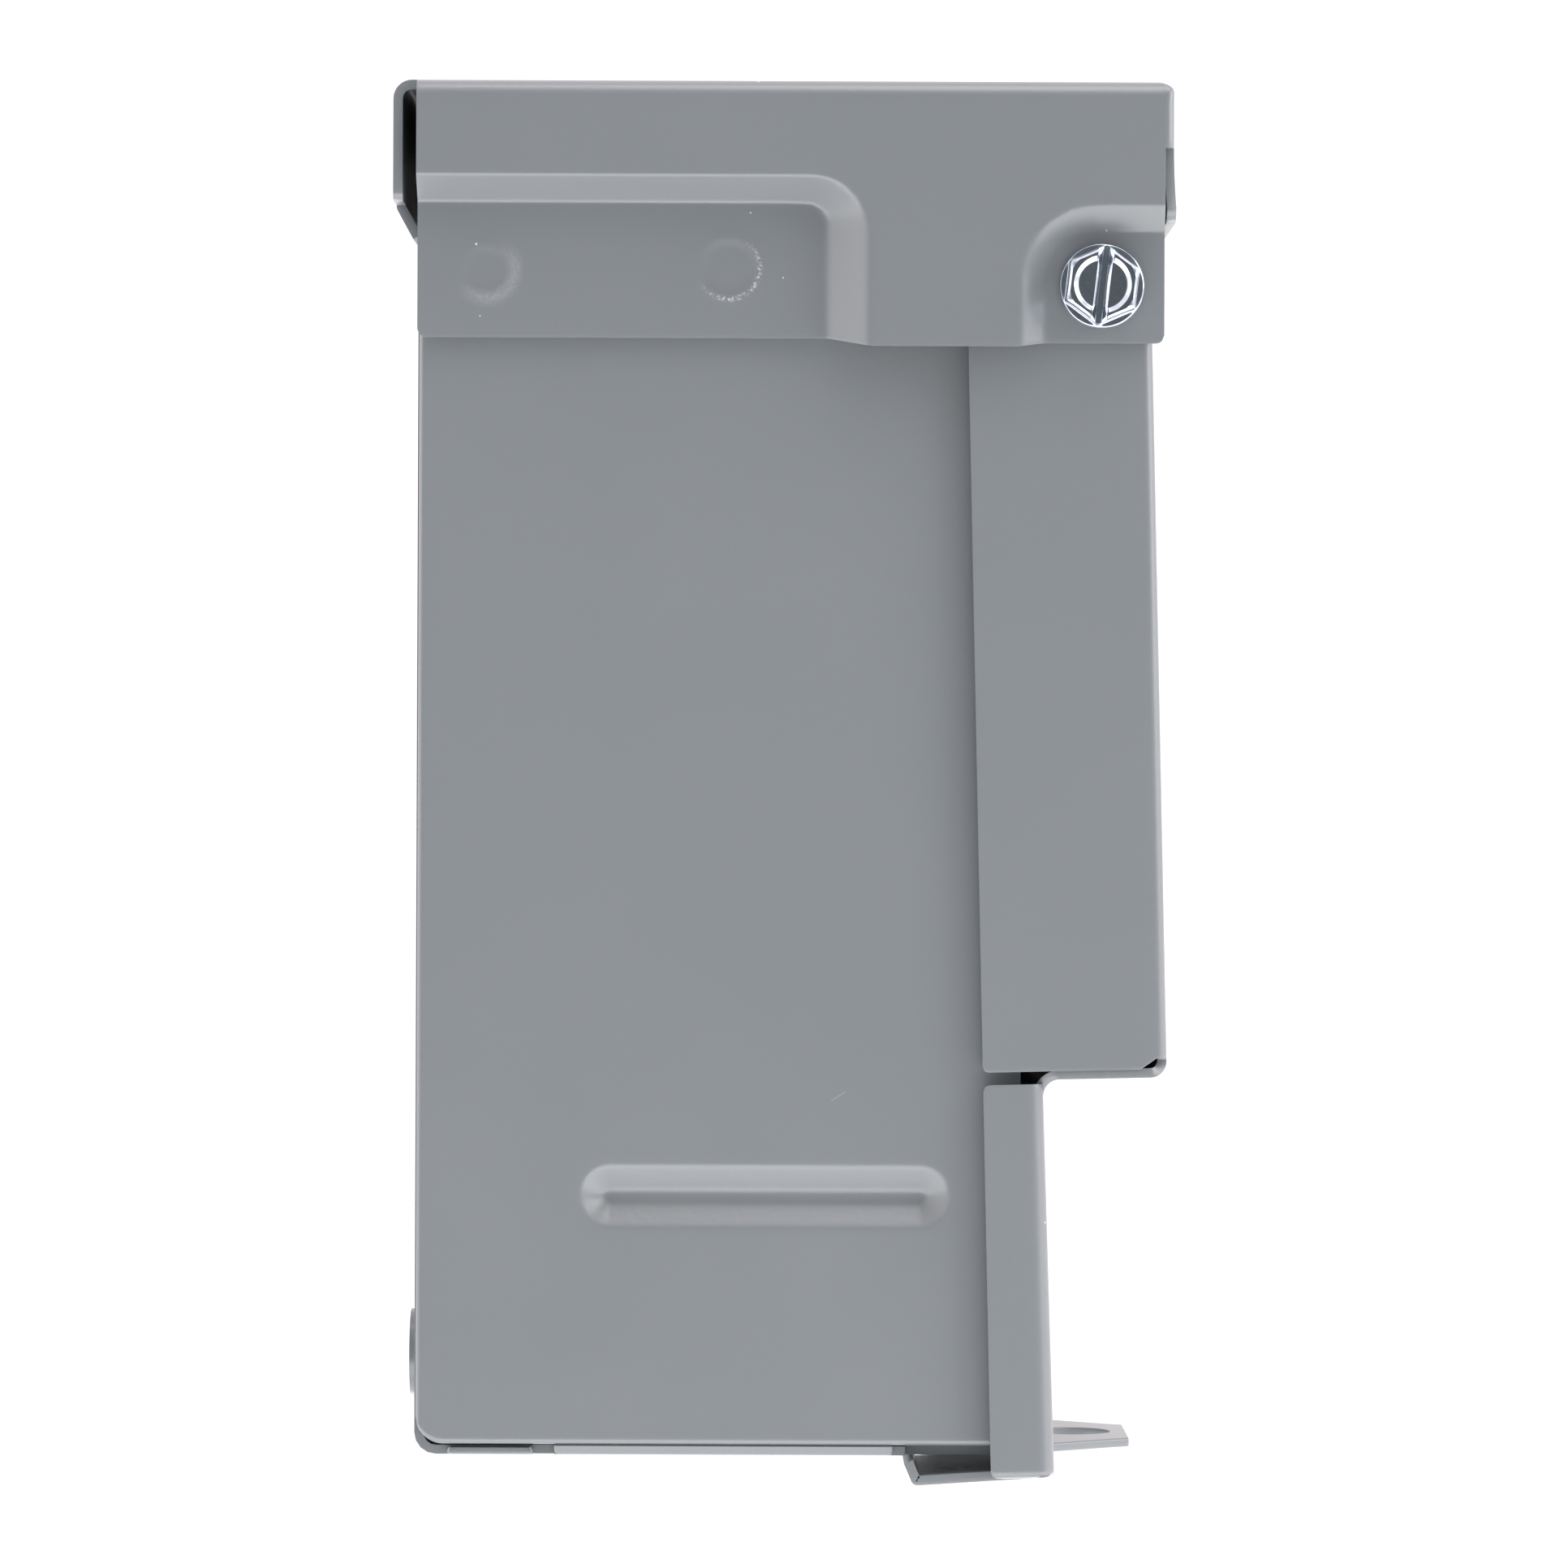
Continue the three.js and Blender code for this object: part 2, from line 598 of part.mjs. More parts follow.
// ---------------------------------------------------------------- switch

const CASE_SCREWS = [
  ["lower_left", -23.2, 77],
  ["lower_right", 23.2, 77],
  ["upper_left", -23.2, 135],
  ["upper_right", 23.2, 135],
];

function caseScrewHoles(from, to) {
  return CASE_SCREWS.map(([, x, up]) => rod(1.9, "out", [x, up], from, to, 10));
}

const LUG = { half: 7, deep: 13, back: 27, front: 45, wire: 33.5 };
const LUG_BED = LUG.back - 2.2; // a strap lies between this and the lug
const LUG_ENDS = [
  ["line", CASE_TOP - LUG.deep - 1, CASE_TOP - 1],
  ["load", CASE_LOW + 1, CASE_LOW + LUG.deep + 1],
];
const CHAMBER = { low: 87.5, high: 124.5, near: 2.2, far: 20.4, back: 20, front: 56 };

function poles(make) {
  return SIDES.map(([side, sign]) => make(side, sign * POLE, sign));
}

// The lugs' pockets are open at the ends of the case, and each has a screwdriver hole through its front.
function lugPockets() {
  return LUG_ENDS.flatMap(([end, low, high]) =>
    poles((side, x) => {
      const reach = end === "line" ? [low - GAP, high + 5] : [low - 5, high + GAP];
      const pocket = block([x - LUG.half - GAP, x + LUG.half + GAP], [LUG_BED, LUG.front + GAP], reach);
      const access = rod(4.6, "out", [x, (low + high) / 2], LUG.front, CASE_FACE + 1, 14);
      return joined(pocket, access);
    }),
  );
}

function switchCase() {
  const { near, far, back, front, low: floor, high: roof } = CHAMBER;
  const chambers = SIDES.map(([, sign]) => block(mirrored(sign, near, far), [back, front], [floor, roof]));
  // The crossbar and the toggle's hub pass through the wall between the poles.
  const barWay = block([-21, 21], [BAR_OUT - 6, CHAMBER.front], [BAR_UP - 4.6, BAR_UP + 6]);
  const hubWay = block([-8, 8], [TOGGLE_OUT - 12, TOGGLE_OUT + 4], [TOGGLE_UP - 13, TOGGLE_UP + 13]);
  const strapWays = LUG_ENDS.flatMap(([end, low, high]) => {
    const reach = end === "line" ? [CHAMBER.high - 1, low] : [high, CHAMBER.low + 1];
    return poles((side, x) => block([x - 5.3, x + 5.3], [LUG_BED, LUG.back], reach));
  });
  const hollows = [...chambers, barWay, hubWay, ...lugPockets(), ...strapWays, ...caseScrewHoles(10, 70)];

  const base = block([-CASE_HALF, CASE_HALF], [CASE_BACK, CASE_SPLIT], [CASE_LOW, CASE_TOP]);
  place("switch_base", cutBy(base, ...hollows), blackPlastic);

  const chamfer = 2;
  const lid = extruded(
    [
      [CASE_SPLIT + GAP, CASE_LOW],
      [CASE_FACE - chamfer, CASE_LOW],
      [CASE_FACE, CASE_LOW + chamfer],
      [CASE_FACE, CASE_TOP - chamfer],
      [CASE_FACE - chamfer, CASE_TOP],
      [CASE_SPLIT + GAP, CASE_TOP],
    ],
    "across",
    -CASE_HALF,
    CASE_HALF,
  );
  const play = 0.9; // between the bezel and the dead front's window
  const bezel = block(
    [-WINDOW.half + play, WINDOW.half - play],
    [CASE_FACE - 1, CASE_FACE + 7],
    [WINDOW.low + play, WINDOW.high - play],
  );
  const slot = block([-6.6, 6.6], [CASE_FACE - 6, CASE_FACE + 8], [TOGGLE_UP - 11.5, TOGGLE_UP + 11.5]);
  const hubSeat = rod(9.8, "across", [TOGGLE_OUT, TOGGLE_UP], -6.6, 6.6, 24);
  const pinSeat = rod(1.9, "across", [TOGGLE_OUT, TOGGLE_UP], -12, 12, 12);
  const pinWay = block([-12, 12], [TOGGLE_OUT - 8, TOGGLE_OUT], [TOGGLE_UP - 1.9, TOGGLE_UP + 1.9]);
  place("switch_cover", cutBy(joined(lid, bezel), ...hollows, slot, hubSeat, pinSeat, pinWay), blackPlastic);

  for (const [where, x, up] of CASE_SCREWS) {
    const length = CASE_FACE - 9.5;
    const screw = slottedScrew({ shank: 1.5, length, head: 2.7, headHigh: 0.45, slotDeep: 0.25, sides: 12 });
    screwFacing(`case_screw_${where}`, screw, zinc, [x, CASE_FACE + 0.15, up], "front");
  }
}

function lugs() {
  for (const [end, low, high] of LUG_ENDS) {
    poles((side, x) => {
      const middle = (low + high) / 2;
      const body = block([x - LUG.half, x + LUG.half], [LUG.back, LUG.front], [low, high]);
      const wireHole = rod(4.6, "up", [x, LUG.wire], low - 1, high + 1, 16);
      const screwHole = rod(4.1, "out", [x, middle], LUG.wire, LUG.front + 1, 14);
      place(`${end}_lug_${side}`, cutBy(body, wireHole, screwHole), aluminium);
      const screw = rod(3.8, "out", [x, middle], 38.4, LUG.front + 3, 14);
      const slot = block([x - 0.7, x + 0.7], [LUG.front + 1.4, LUG.front + 4], [middle - 5, middle + 5]);
      place(`${end}_lug_screw_${side}`, screw.subtract(slot), aluminium);
    });
  }
}

const CONTACT_UP = 112;
const CONTACT_RISE = 1.2; // the contact button's height above its strap
const STRAP = { half: 5, back: LUG.back - 1.9, front: LUG.back - 0.3 };

function currentPath() {
  poles((side, x) => {
    const strap = (low, high) =>
      block([x - STRAP.half, x + STRAP.half], [STRAP.back, STRAP.front], [low, high]);
    const button = rod(3, "out", [x, CONTACT_UP], STRAP.front - 0.1, STRAP.front + CONTACT_RISE);
    place(`fixed_contact_${side}`, joined(strap(CONTACT_UP - 4, CASE_TOP - 1.5), button), copper);
    place(`load_strap_${side}`, strap(CASE_LOW + 1.5, CHAMBER.low + 0.3), copper);
  });
}

// The toggle turns on a pin; a torsion spring round the pin snaps it over.
function toggle() {
  const hub = rod(9.4, "across", [0, 0], -6.2, 6.2, 24);
  const below = block([-7, 7], [-10, -3.2], [-11, 11]);
  const profile = [[4, -3.6], [26, -2.5], [27.5, -1.5], [28, 0], [27.5, 1.5], [26, 2.5], [4, 3.6]];
  const lever = extruded(profile, "across", -5, 5);
  const bore = rod(1.85, "across", [0, 0], -8, 8, 12);
  const springSeat = rod(4, "across", [0, 0], -1.8, 1.8, 16);
  const throwGroup = new THREE.Group();
  throwGroup.position.set(0, -TOGGLE_OUT, TOGGLE_UP);
  throwGroup.rotation.x = -THREE.MathUtils.degToRad(TOGGLE_THROW);
  box.add(throwGroup);
  place("toggle_handle", cutBy(joined(hub, lever), below, bore, springSeat), togglePlastic, throwGroup);

  const coil = rod(3.5, "across", [0, 0], -1.5, 1.5, 16);
  const eye = rod(2.1, "across", [0, 0], -3, 3, 12);
  const tail = block([-0.5, 0.5], [-6.5, -2.4], [-1.8, -0.8]);
  place("toggle_spring", joined(coil.subtract(eye), tail), springSteel, throwGroup);
  place("toggle_pin", rod(1.55, "across", [TOGGLE_OUT, TOGGLE_UP], -11.5, 11.5, 12), zinc);
}

// One insulating crossbar carries both contact arms.
function crossbar() {
  const shaft = rod(4, "across", [BAR_OUT, BAR_UP], -20, 20, 20);
  const slots = poles((side, x) =>
    block([x - 3.3, x + 3.3], [BAR_OUT - 1.4, BAR_OUT + 1.4], [BAR_UP - 0.5, BAR_UP + 5]),
  );
  const bore = rod(1.3, "across", [BAR_OUT, BAR_UP], -21, 21, 10);
  place("crossbar", cutBy(shaft, ...slots, bore), redPlastic);
  place("crossbar_pin", rod(1, "across", [BAR_OUT, BAR_UP], -20, 20, 10), zinc);
  poles((side, x) => {
    const faceOfContact = STRAP.front + CONTACT_RISE + GAP;
    const blade = extruded(
      [
        [BAR_OUT - 1.1, BAR_UP + 1.7],
        [BAR_OUT + 1.1, BAR_UP + 1.7],
        [BAR_OUT + 1.1, CONTACT_UP + 3],
        [BAR_OUT - 1.1, CONTACT_UP + 3],
      ],
      "across",
      x - 3,
      x + 3,
    );
    const tip = rod(2.8, "out", [x, CONTACT_UP], faceOfContact, BAR_OUT - 1, 14);
    place(`contact_arm_${side}`, joined(blade, tip), silver);
  });
}

// ---------------------------------------------------------------- ground bar

function groundBar() {
  const { x: [x0, x1], out: [out0, out1], up: [low, high], bolt: boltAt } = GROUND_BAR;
  const places = [16.5, 24, 31.5, 39];
  const middle = (low + high) / 2;
  const wireOut = out0 + 4;
  const wires = places.map((x) => rod(2.4, "up", [x, wireOut], low - 1, high + 1, 12));
  const threads = places.map((x) => rod(2.35, "out", [x, middle], wireOut, out1 + 1, 12));
  const fixing = rod(2.2, "out", [boltAt, middle], 0, out1 + 1, 12);
  const bar = block([x0, x1], [out0, out1], [low, high]);
  place("ground_bar", cutBy(bar, ...wires, ...threads, fixing), aluminium);
  places.forEach((x, i) => {
    const screw = slottedScrew({ shank: 2, length: 4, head: 3.2, headHigh: 2.2 });
    screwFacing(`ground_screw_${i + 1}`, screw, zinc, [x, out1 + GAP, middle], "front");
  });
  const bolt = slottedScrew({ shank: 1.9, length: 12.4, head: 3.3, headHigh: 2.2 });
  screwFacing("ground_bar_screw", bolt, zinc, [boltAt, out1 + GAP, middle], "front");
}

backAndBottom();
SIDES.forEach(([side, sign]) => bodySide(side, sign));
rainHood();
padlockHasp();
hinge();
frontCover();
switchBracket();
deadFront();
switchCase();
lugs();
currentPath();
toggle();
crossbar();
groundBar();

export default disconnect;
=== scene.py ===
"""Looks for a wall-mounted air-conditioner disconnect box: painted sheet steel with a moulded switch inside.

Shapes are drawn as on a bench drawing, in millimetres: x across the box, "out" forwards from the back
sheet's outer face, and "up" from the underside of the bottom sheet. at() turns them into the frame's metres.
"""
import json
import math

import bmesh
import bpy
import numpy as np
from mathutils import Matrix, Vector


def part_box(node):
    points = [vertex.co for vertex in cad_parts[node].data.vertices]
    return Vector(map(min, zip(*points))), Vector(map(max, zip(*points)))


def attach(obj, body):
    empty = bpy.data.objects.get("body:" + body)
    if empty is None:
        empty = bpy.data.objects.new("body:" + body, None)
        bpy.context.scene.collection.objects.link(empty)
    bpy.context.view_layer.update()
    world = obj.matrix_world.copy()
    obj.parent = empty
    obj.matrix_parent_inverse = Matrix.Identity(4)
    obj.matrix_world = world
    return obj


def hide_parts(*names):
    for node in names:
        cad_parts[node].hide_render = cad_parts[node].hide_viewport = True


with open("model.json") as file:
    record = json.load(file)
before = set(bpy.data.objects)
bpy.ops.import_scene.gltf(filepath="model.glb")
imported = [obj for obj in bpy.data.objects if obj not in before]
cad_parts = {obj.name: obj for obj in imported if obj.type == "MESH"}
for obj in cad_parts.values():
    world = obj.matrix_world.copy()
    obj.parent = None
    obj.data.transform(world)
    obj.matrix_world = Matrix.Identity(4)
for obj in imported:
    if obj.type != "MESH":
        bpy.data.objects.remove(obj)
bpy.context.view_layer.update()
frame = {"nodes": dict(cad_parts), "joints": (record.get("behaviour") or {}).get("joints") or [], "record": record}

# ------------------------------------------------------------------ places and sizes, from the frame

MM = 0.001
SHEET = 1.3  # painted 18 gauge steel
SIDES = (("left", -1), ("right", 1))

SIDE_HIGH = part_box("side_right")[1]
HOOD_LOW, HOOD_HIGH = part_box("rain_hood")
GROUND_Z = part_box("back_and_bottom")[0].z
BACK_Y = SIDE_HIGH.y + 0.2 * MM
HINGE = Vector(next(j["pos_m"] for j in frame["joints"] if j["name"] == "cover_hinge"))

BODY_HALF = SIDE_HIGH.x / MM
SIDE_TOP = (SIDE_HIGH.z - GROUND_Z) / MM
HOOD_HALF = HOOD_HIGH.x / MM
HEIGHT = (HOOD_HIGH.z - GROUND_Z) / MM
LIP_FLARE = 0.35  # how far the hood's front lip leans forwards of its front face
HOOD_FRONT = (BACK_Y - HOOD_LOW.y) / MM - LIP_FLARE
HOOD_SKIRT = (HOOD_LOW.z - GROUND_Z) / MM
WALL_OUT = (BACK_Y - HOOD_HIGH.y) / MM
PIVOT_OUT = (BACK_Y - HINGE.y) / MM
PIVOT_UP = (HINGE.z - GROUND_Z) / MM
COVER_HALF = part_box("front_cover")[1].x / MM
COVER_TILT = math.radians(1.35)


def at(x, out, up):
    """Bench millimetres to the frame's metres, for whole arrays."""
    x, out, up = np.broadcast_arrays(np.asarray(x, float), np.asarray(out, float), np.asarray(up, float))
    return np.stack([x * MM, BACK_Y - out * MM, GROUND_Z + up * MM], -1)


def on_cover(x, out, up):
    """The same, for the cover as it is drawn shut, about its hinge line, and then hung open by its tilt."""
    c, s = math.cos(COVER_TILT), math.sin(COVER_TILT)
    out, up = np.asarray(out, float), np.asarray(up, float)
    return at(x, PIVOT_OUT + out * c - up * s, PIVOT_UP + up * c + out * s)


# ------------------------------------------------------------------ formulas for pressed sheet

def soft(value, start, end, ease=0.1):
    """0 before start and 1 after end, with a straight slope between and a small radius at both shoulders."""
    t = (np.asarray(value, float) - start) / (end - start)
    return 0.5 * (np.sqrt(t * t + ease**2) - np.sqrt((t - 1) ** 2 + ease**2) + 1)


def past_corner(a, b, radius):
    """Distance outside a quadrant a < 0, b < 0 whose corner is rounded: negative inside."""
    qa, qb = a + radius, b + radius
    return np.hypot(np.maximum(qa, 0), np.maximum(qb, 0)) + np.minimum(np.maximum(qa, qb), 0) - radius


def between(outer, inner, ease=0.06):
    """How far a point has gone from one rounded line (distance outer) to the next one (distance inner)."""
    return soft(-outer / np.maximum(inner - outer, 1e-6), 0, 1, ease)


def edge_roll(distance, radius):
    """How far a sheet has turned away at a distance from its edge: a quarter circle of that radius."""
    d = np.clip(distance, 0, radius)
    return radius - np.sqrt(np.maximum(radius**2 - (radius - d) ** 2, 0))


def stations(start, end, step, fine=(), fine_step=0.2, reach=2.0):
    """Places from start to end, a step apart, and closer within reach of each fine place.

    The number of places per millimetre is summed along the line, and that sum is divided evenly.
    """
    line = np.linspace(start, end, 4001)
    density = np.full(line.shape, 1 / step)
    for place in fine:
        density[np.abs(line - place) < reach] = 1 / fine_step
    count = np.concatenate([[0], np.cumsum((density[1:] + density[:-1]) / 2) * abs(end - start) / 4000])
    return np.interp(np.linspace(0, count[-1], max(3, int(count[-1]) + 1)), count, line)


def path(points, steps=5):
    """A line through (a, b, radius) corners, each rounded by an arc of its radius."""
    line = [np.array(points[0][:2], float)]
    for before, corner, after in zip(points, points[1:], points[2:]):
        p, c, q = (np.array(v[:2], float) for v in (before, corner, after))
        u, v = (c - p) / np.linalg.norm(c - p), (q - c) / np.linalg.norm(q - c)
        turn = math.atan2(u[0] * v[1] - u[1] * v[0], u @ v)
        radius = corner[2] if len(corner) > 2 else 0
        if radius <= 0 or abs(turn) < 1e-4:
            line.append(c)
            continue
        start = c - u * radius * math.tan(abs(turn) / 2)
        centre = start + np.array([-u[1], u[0]]) * radius * np.sign(turn)
        angles = np.linspace(0, turn, steps + 1)
        spoke = start - centre
        for a in angles:
            line.append(centre + np.array([spoke[0] * math.cos(a) - spoke[1] * math.sin(a),
                                           spoke[0] * math.sin(a) + spoke[1] * math.cos(a)]))
    line.append(np.array(points[-1][:2], float))
    return np.array(line)


def divided(line, step):
    """The same line with its long straight stretches divided."""
    made = [line[:1]]
    for a, b in zip(line, line[1:]):
        n = max(1, int(np.linalg.norm(b - a) / step))
        made.append(a + (b - a) * (np.arange(1, n + 1) / n)[:, None])
    return np.concatenate(made)


# ------------------------------------------------------------------ making pieces

def quads(rows, columns, first=0):
    """Faces of a grid of rows by columns points, as an array of four indices each."""
    i = np.arange(rows - 1)[:, None] * columns + np.arange(columns - 1)[None, :] + first
    return np.stack([i, i + columns, i + columns + 1, i + 1], -1).reshape(-1, 4)


def mesh_of(name, points, faces):
    mesh = bpy.data.meshes.new(name)
    mesh.from_pydata(points.reshape(-1, 3).tolist(), [], [f.tolist() for f in faces])
    mesh.update()
    piece = bpy.data.objects.new(name, mesh)
    bpy.context.scene.collection.objects.link(piece)
    return piece


def apply_modifiers(piece):
    """Replaces a piece's mesh by what its modifiers make of it, so that it is finished as it stands."""
    evaluated = piece.evaluated_get(bpy.context.evaluated_depsgraph_get())
    made = bpy.data.meshes.new_from_object(evaluated)
    piece.modifiers.clear()
    piece.data = made


def soften(piece, width, segments=2, angle=40, flat_faces=False):
    """Rounds the edges sharper than the angle and shades smoothly up to it; large faces can stay flat."""
    if width > 0:
        bevel = piece.modifiers.new("rounded edges", "BEVEL")
        bevel.width = width * MM
        bevel.segments = segments
        bevel.limit_method = "ANGLE"
        bevel.angle_limit = math.radians(angle)
        bevel.use_clamp_overlap = True
        bevel.miter_outer = "MITER_ARC"
    apply_modifiers(piece)
    piece.data.shade_smooth()
    piece.data.set_sharp_from_angle(angle=math.radians(angle))
    if flat_faces:
        weigh = piece.modifiers.new("flat faces", "WEIGHTED_NORMAL")
        weigh.weight = 100
        weigh.keep_sharp = True
        apply_modifiers(piece)


def finished(piece, body, material, replaces=()):
    piece.data.materials.clear()
    piece.data.materials.append(material)
    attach(piece, body)
    if replaces:
        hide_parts(*replaces)
    return piece


def sheet(name, patches, outside, thick=SHEET, edge=0.14):
    """Joins grids that share their edges into one skin and thickens it by the sheet on its inner side.

    outside is a direction that the middle face of the first grid looks to.
    """
    points = np.concatenate([p.reshape(-1, 3) for p in patches])
    faces, first = [], 0
    for p in patches:
        faces.append(quads(p.shape[0], p.shape[1], first))
        first += p.shape[0] * p.shape[1]
    piece = mesh_of(name, points, np.concatenate(faces))
    bm = bmesh.new()
    bm.from_mesh(piece.data)
    bm.faces.ensure_lookup_table()
    marker = bm.faces.layers.int.new("first")
    bm.faces[len(faces[0]) // 2][marker] = 1
    bmesh.ops.remove_doubles(bm, verts=bm.verts, dist=2e-6)
    bmesh.ops.dissolve_degenerate(bm, edges=bm.edges, dist=1e-6)
    bmesh.ops.recalc_face_normals(bm, faces=bm.faces)
    bm.normal_update()
    marked = next(f for f in bm.faces if f[marker])
    if marked.normal.dot(Vector(outside)) < 0:
        bmesh.ops.reverse_faces(bm, faces=bm.faces)
    bm.to_mesh(piece.data)
    bm.free()
    wall = piece.modifiers.new("sheet", "SOLIDIFY")
    wall.thickness = thick * MM
    wall.offset = -1
    wall.use_even_offset = False
    wall.use_quality_normals = True
    soften(piece, edge)
    return piece


def softened_copy(node, edge=0.2, segments=2, angle=35):
    """A CAD node's own shape with its flat facets joined and its edges rounded."""
    source = frame["nodes"][node]
    piece = bpy.data.objects.new(node + "_finished", source.data.copy())
    bpy.context.scene.collection.objects.link(piece)
    bm = bmesh.new()
    bm.from_mesh(piece.data)
    bmesh.ops.remove_doubles(bm, verts=bm.verts, dist=2e-6)
    bmesh.ops.dissolve_limit(bm, angle_limit=math.radians(1), verts=bm.verts, edges=bm.edges)
    bm.to_mesh(piece.data)
    bm.free()
    soften(piece, edge, segments, angle, flat_faces=True)
    return piece


# ------------------------------------------------------------------ shader groups

def group(name, inputs, outputs):
    """An empty node group with its sockets: (name, type, default) in, (name, type) out."""
    tree = bpy.data.node_groups.new(name, "ShaderNodeTree")
    for label, kind, default in inputs:
        socket = tree.interface.new_socket(label, in_out="INPUT", socket_type=kind)
        socket.default_value = default
    for label, kind in outputs:
        tree.interface.new_socket(label, in_out="OUTPUT", socket_type=kind)
    return tree, tree.nodes.new("NodeGroupInput"), tree.nodes.new("NodeGroupOutput")


def node(tree, kind, links=(), **settings):
    """A node with its settings; links are (input name, output socket or value)."""
    made = tree.nodes.new(kind)
    for key, value in settings.items():
        setattr(made, key, value)
    for label, source in links:
        if isinstance(source, bpy.types.NodeSocket):
            tree.links.new(source, made.inputs[label])
        else:
            made.inputs[label].default_value = source
    return made


def maths(tree, operation, *values, clamp=False):
    made = tree.nodes.new("ShaderNodeMath")
    made.operation = operation
    made.use_clamp = clamp
    for socket, value in zip(made.inputs, values):
        if isinstance(value, bpy.types.NodeSocket):
            tree.links.new(value, socket)
        else:
            socket.default_value = value
    return made.outputs[0]


def paint_skin_group():
    """Powder coat's skin: a fine orange peel and a slower unevenness, as one height."""
    tree, given, out = group(
        "Paint skin",
        [("Peel scale", "NodeSocketFloat", 900.0), ("Unevenness", "NodeSocketFloat", 0.3)],
        [("Height", "NodeSocketFloat")],
    )
    where = node(tree, "ShaderNodeTexCoord").outputs["Object"]
    peel_scale = given.outputs["Peel scale"]
    peel = node(tree, "ShaderNodeTexNoise", [("Vector", where), ("Scale", peel_scale), ("Detail", 2.0)])
    slow = node(tree, "ShaderNodeTexNoise", [("Vector", where), ("Scale", 120.0), ("Detail", 1.0)])
    slow_part = maths(tree, "MULTIPLY", slow.outputs["Fac"], given.outputs["Unevenness"])
    tree.links.new(maths(tree, "ADD", peel.outputs["Fac"], slow_part), out.inputs["Height"])
    return tree


def specks_group():
    """Sparse small spots: a few cells of a random pattern hold a dot at their middle."""
    tree, given, out = group(
        "Specks",
        [("Scale", "NodeSocketFloat", 300.0), ("Share", "NodeSocketFloat", 0.03),
         ("Size", "NodeSocketFloat", 0.16)],
        [("Mask", "NodeSocketFloat")],
    )
    where = node(tree, "ShaderNodeTexCoord").outputs["Object"]
    cells = node(tree, "ShaderNodeTexVoronoi", [("Vector", where), ("Scale", given.outputs["Scale"])])
    chance = node(tree, "ShaderNodeSeparateColor", [("Color", cells.outputs["Color"])]).outputs["Red"]
    chosen = maths(tree, "LESS_THAN", chance, given.outputs["Share"])
    dot = maths(tree, "LESS_THAN", cells.outputs["Distance"], given.outputs["Size"])
    tree.links.new(maths(tree, "MULTIPLY", chosen, dot), out.inputs["Mask"])
    return tree


def scratches_group():
    """Short straight hairline scratches: a few cells of a random pattern hold a thin line.

    Each cell's own random colour turns the line: a point is on it when its offset from the cell's middle is
    nearly square to that colour's direction.
    """
    tree, given, out = group(
        "Scratches",
        [("Scale", "NodeSocketFloat", 90.0), ("Width", "NodeSocketFloat", 0.006),
         ("Share", "NodeSocketFloat", 0.05), ("Length", "NodeSocketFloat", 0.3)],
        [("Mask", "NodeSocketFloat")],
    )
    where = node(tree, "ShaderNodeTexCoord").outputs["Object"]
    cells = node(tree, "ShaderNodeTexVoronoi", [("Vector", where), ("Scale", given.outputs["Scale"])])
    offset = node(tree, "ShaderNodeVectorMath", [(0, where), (1, cells.outputs["Position"])],
                  operation="SUBTRACT")
    scaled = node(tree, "ShaderNodeVectorMath", [(0, offset.outputs[0]), ("Scale", given.outputs["Scale"])],
                  operation="SCALE")
    turned = node(tree, "ShaderNodeVectorMath", [(0, cells.outputs["Color"]), (1, (0.5, 0.5, 0.5))],
                  operation="SUBTRACT")
    facing = node(tree, "ShaderNodeVectorMath", [(0, turned.outputs[0])], operation="NORMALIZE")
    across = node(tree, "ShaderNodeVectorMath", [(0, scaled.outputs[0]), (1, facing.outputs[0])],
                  operation="DOT_PRODUCT")
    away = maths(tree, "ABSOLUTE", across.outputs["Value"])
    thin = maths(tree, "LESS_THAN", away, given.outputs["Width"])
    near = maths(tree, "LESS_THAN", cells.outputs["Distance"], given.outputs["Length"])
    chance = node(tree, "ShaderNodeSeparateColor", [("Color", cells.outputs["Color"])]).outputs["Blue"]
    chosen = maths(tree, "LESS_THAN", chance, given.outputs["Share"])
    line = maths(tree, "MULTIPLY", thin, near)
    tree.links.new(maths(tree, "MULTIPLY", line, chosen), out.inputs["Mask"])
    return tree


def grain_group():
    """Drawn or turned metal's grain: noise stretched along one direction."""
    tree, given, out = group(
        "Grain",
        [("Stretch", "NodeSocketVector", (1.0, 1.0, 0.06)), ("Scale", "NodeSocketFloat", 2500.0)],
        [("Value", "NodeSocketFloat")],
    )
    where = node(tree, "ShaderNodeTexCoord").outputs["Object"]
    stretched = node(tree, "ShaderNodeVectorMath", [(0, where), (1, given.outputs["Stretch"])],
                     operation="MULTIPLY")
    noise = node(tree, "ShaderNodeTexNoise", [("Vector", stretched.outputs[0]),
                                              ("Scale", given.outputs["Scale"]), ("Detail", 3.0)])
    tree.links.new(noise.outputs["Fac"], out.inputs["Value"])
    return tree


PAINT_SKIN = paint_skin_group()
SPECKS = specks_group()
SCRATCHES = scratches_group()
GRAIN = grain_group()


# ------------------------------------------------------------------ materials

def surface(name):
    """A new material with its Principled shader."""
    material = bpy.data.materials.new(name)
    material.use_nodes = True
    return material, material.node_tree, material.node_tree.nodes["Principled BSDF"]


def placed(tree, effect, **values):
    made = tree.nodes.new("ShaderNodeGroup")
    made.node_tree = effect
    for label, value in values.items():
        made.inputs[label.replace("_", " ")].default_value = value
    return made


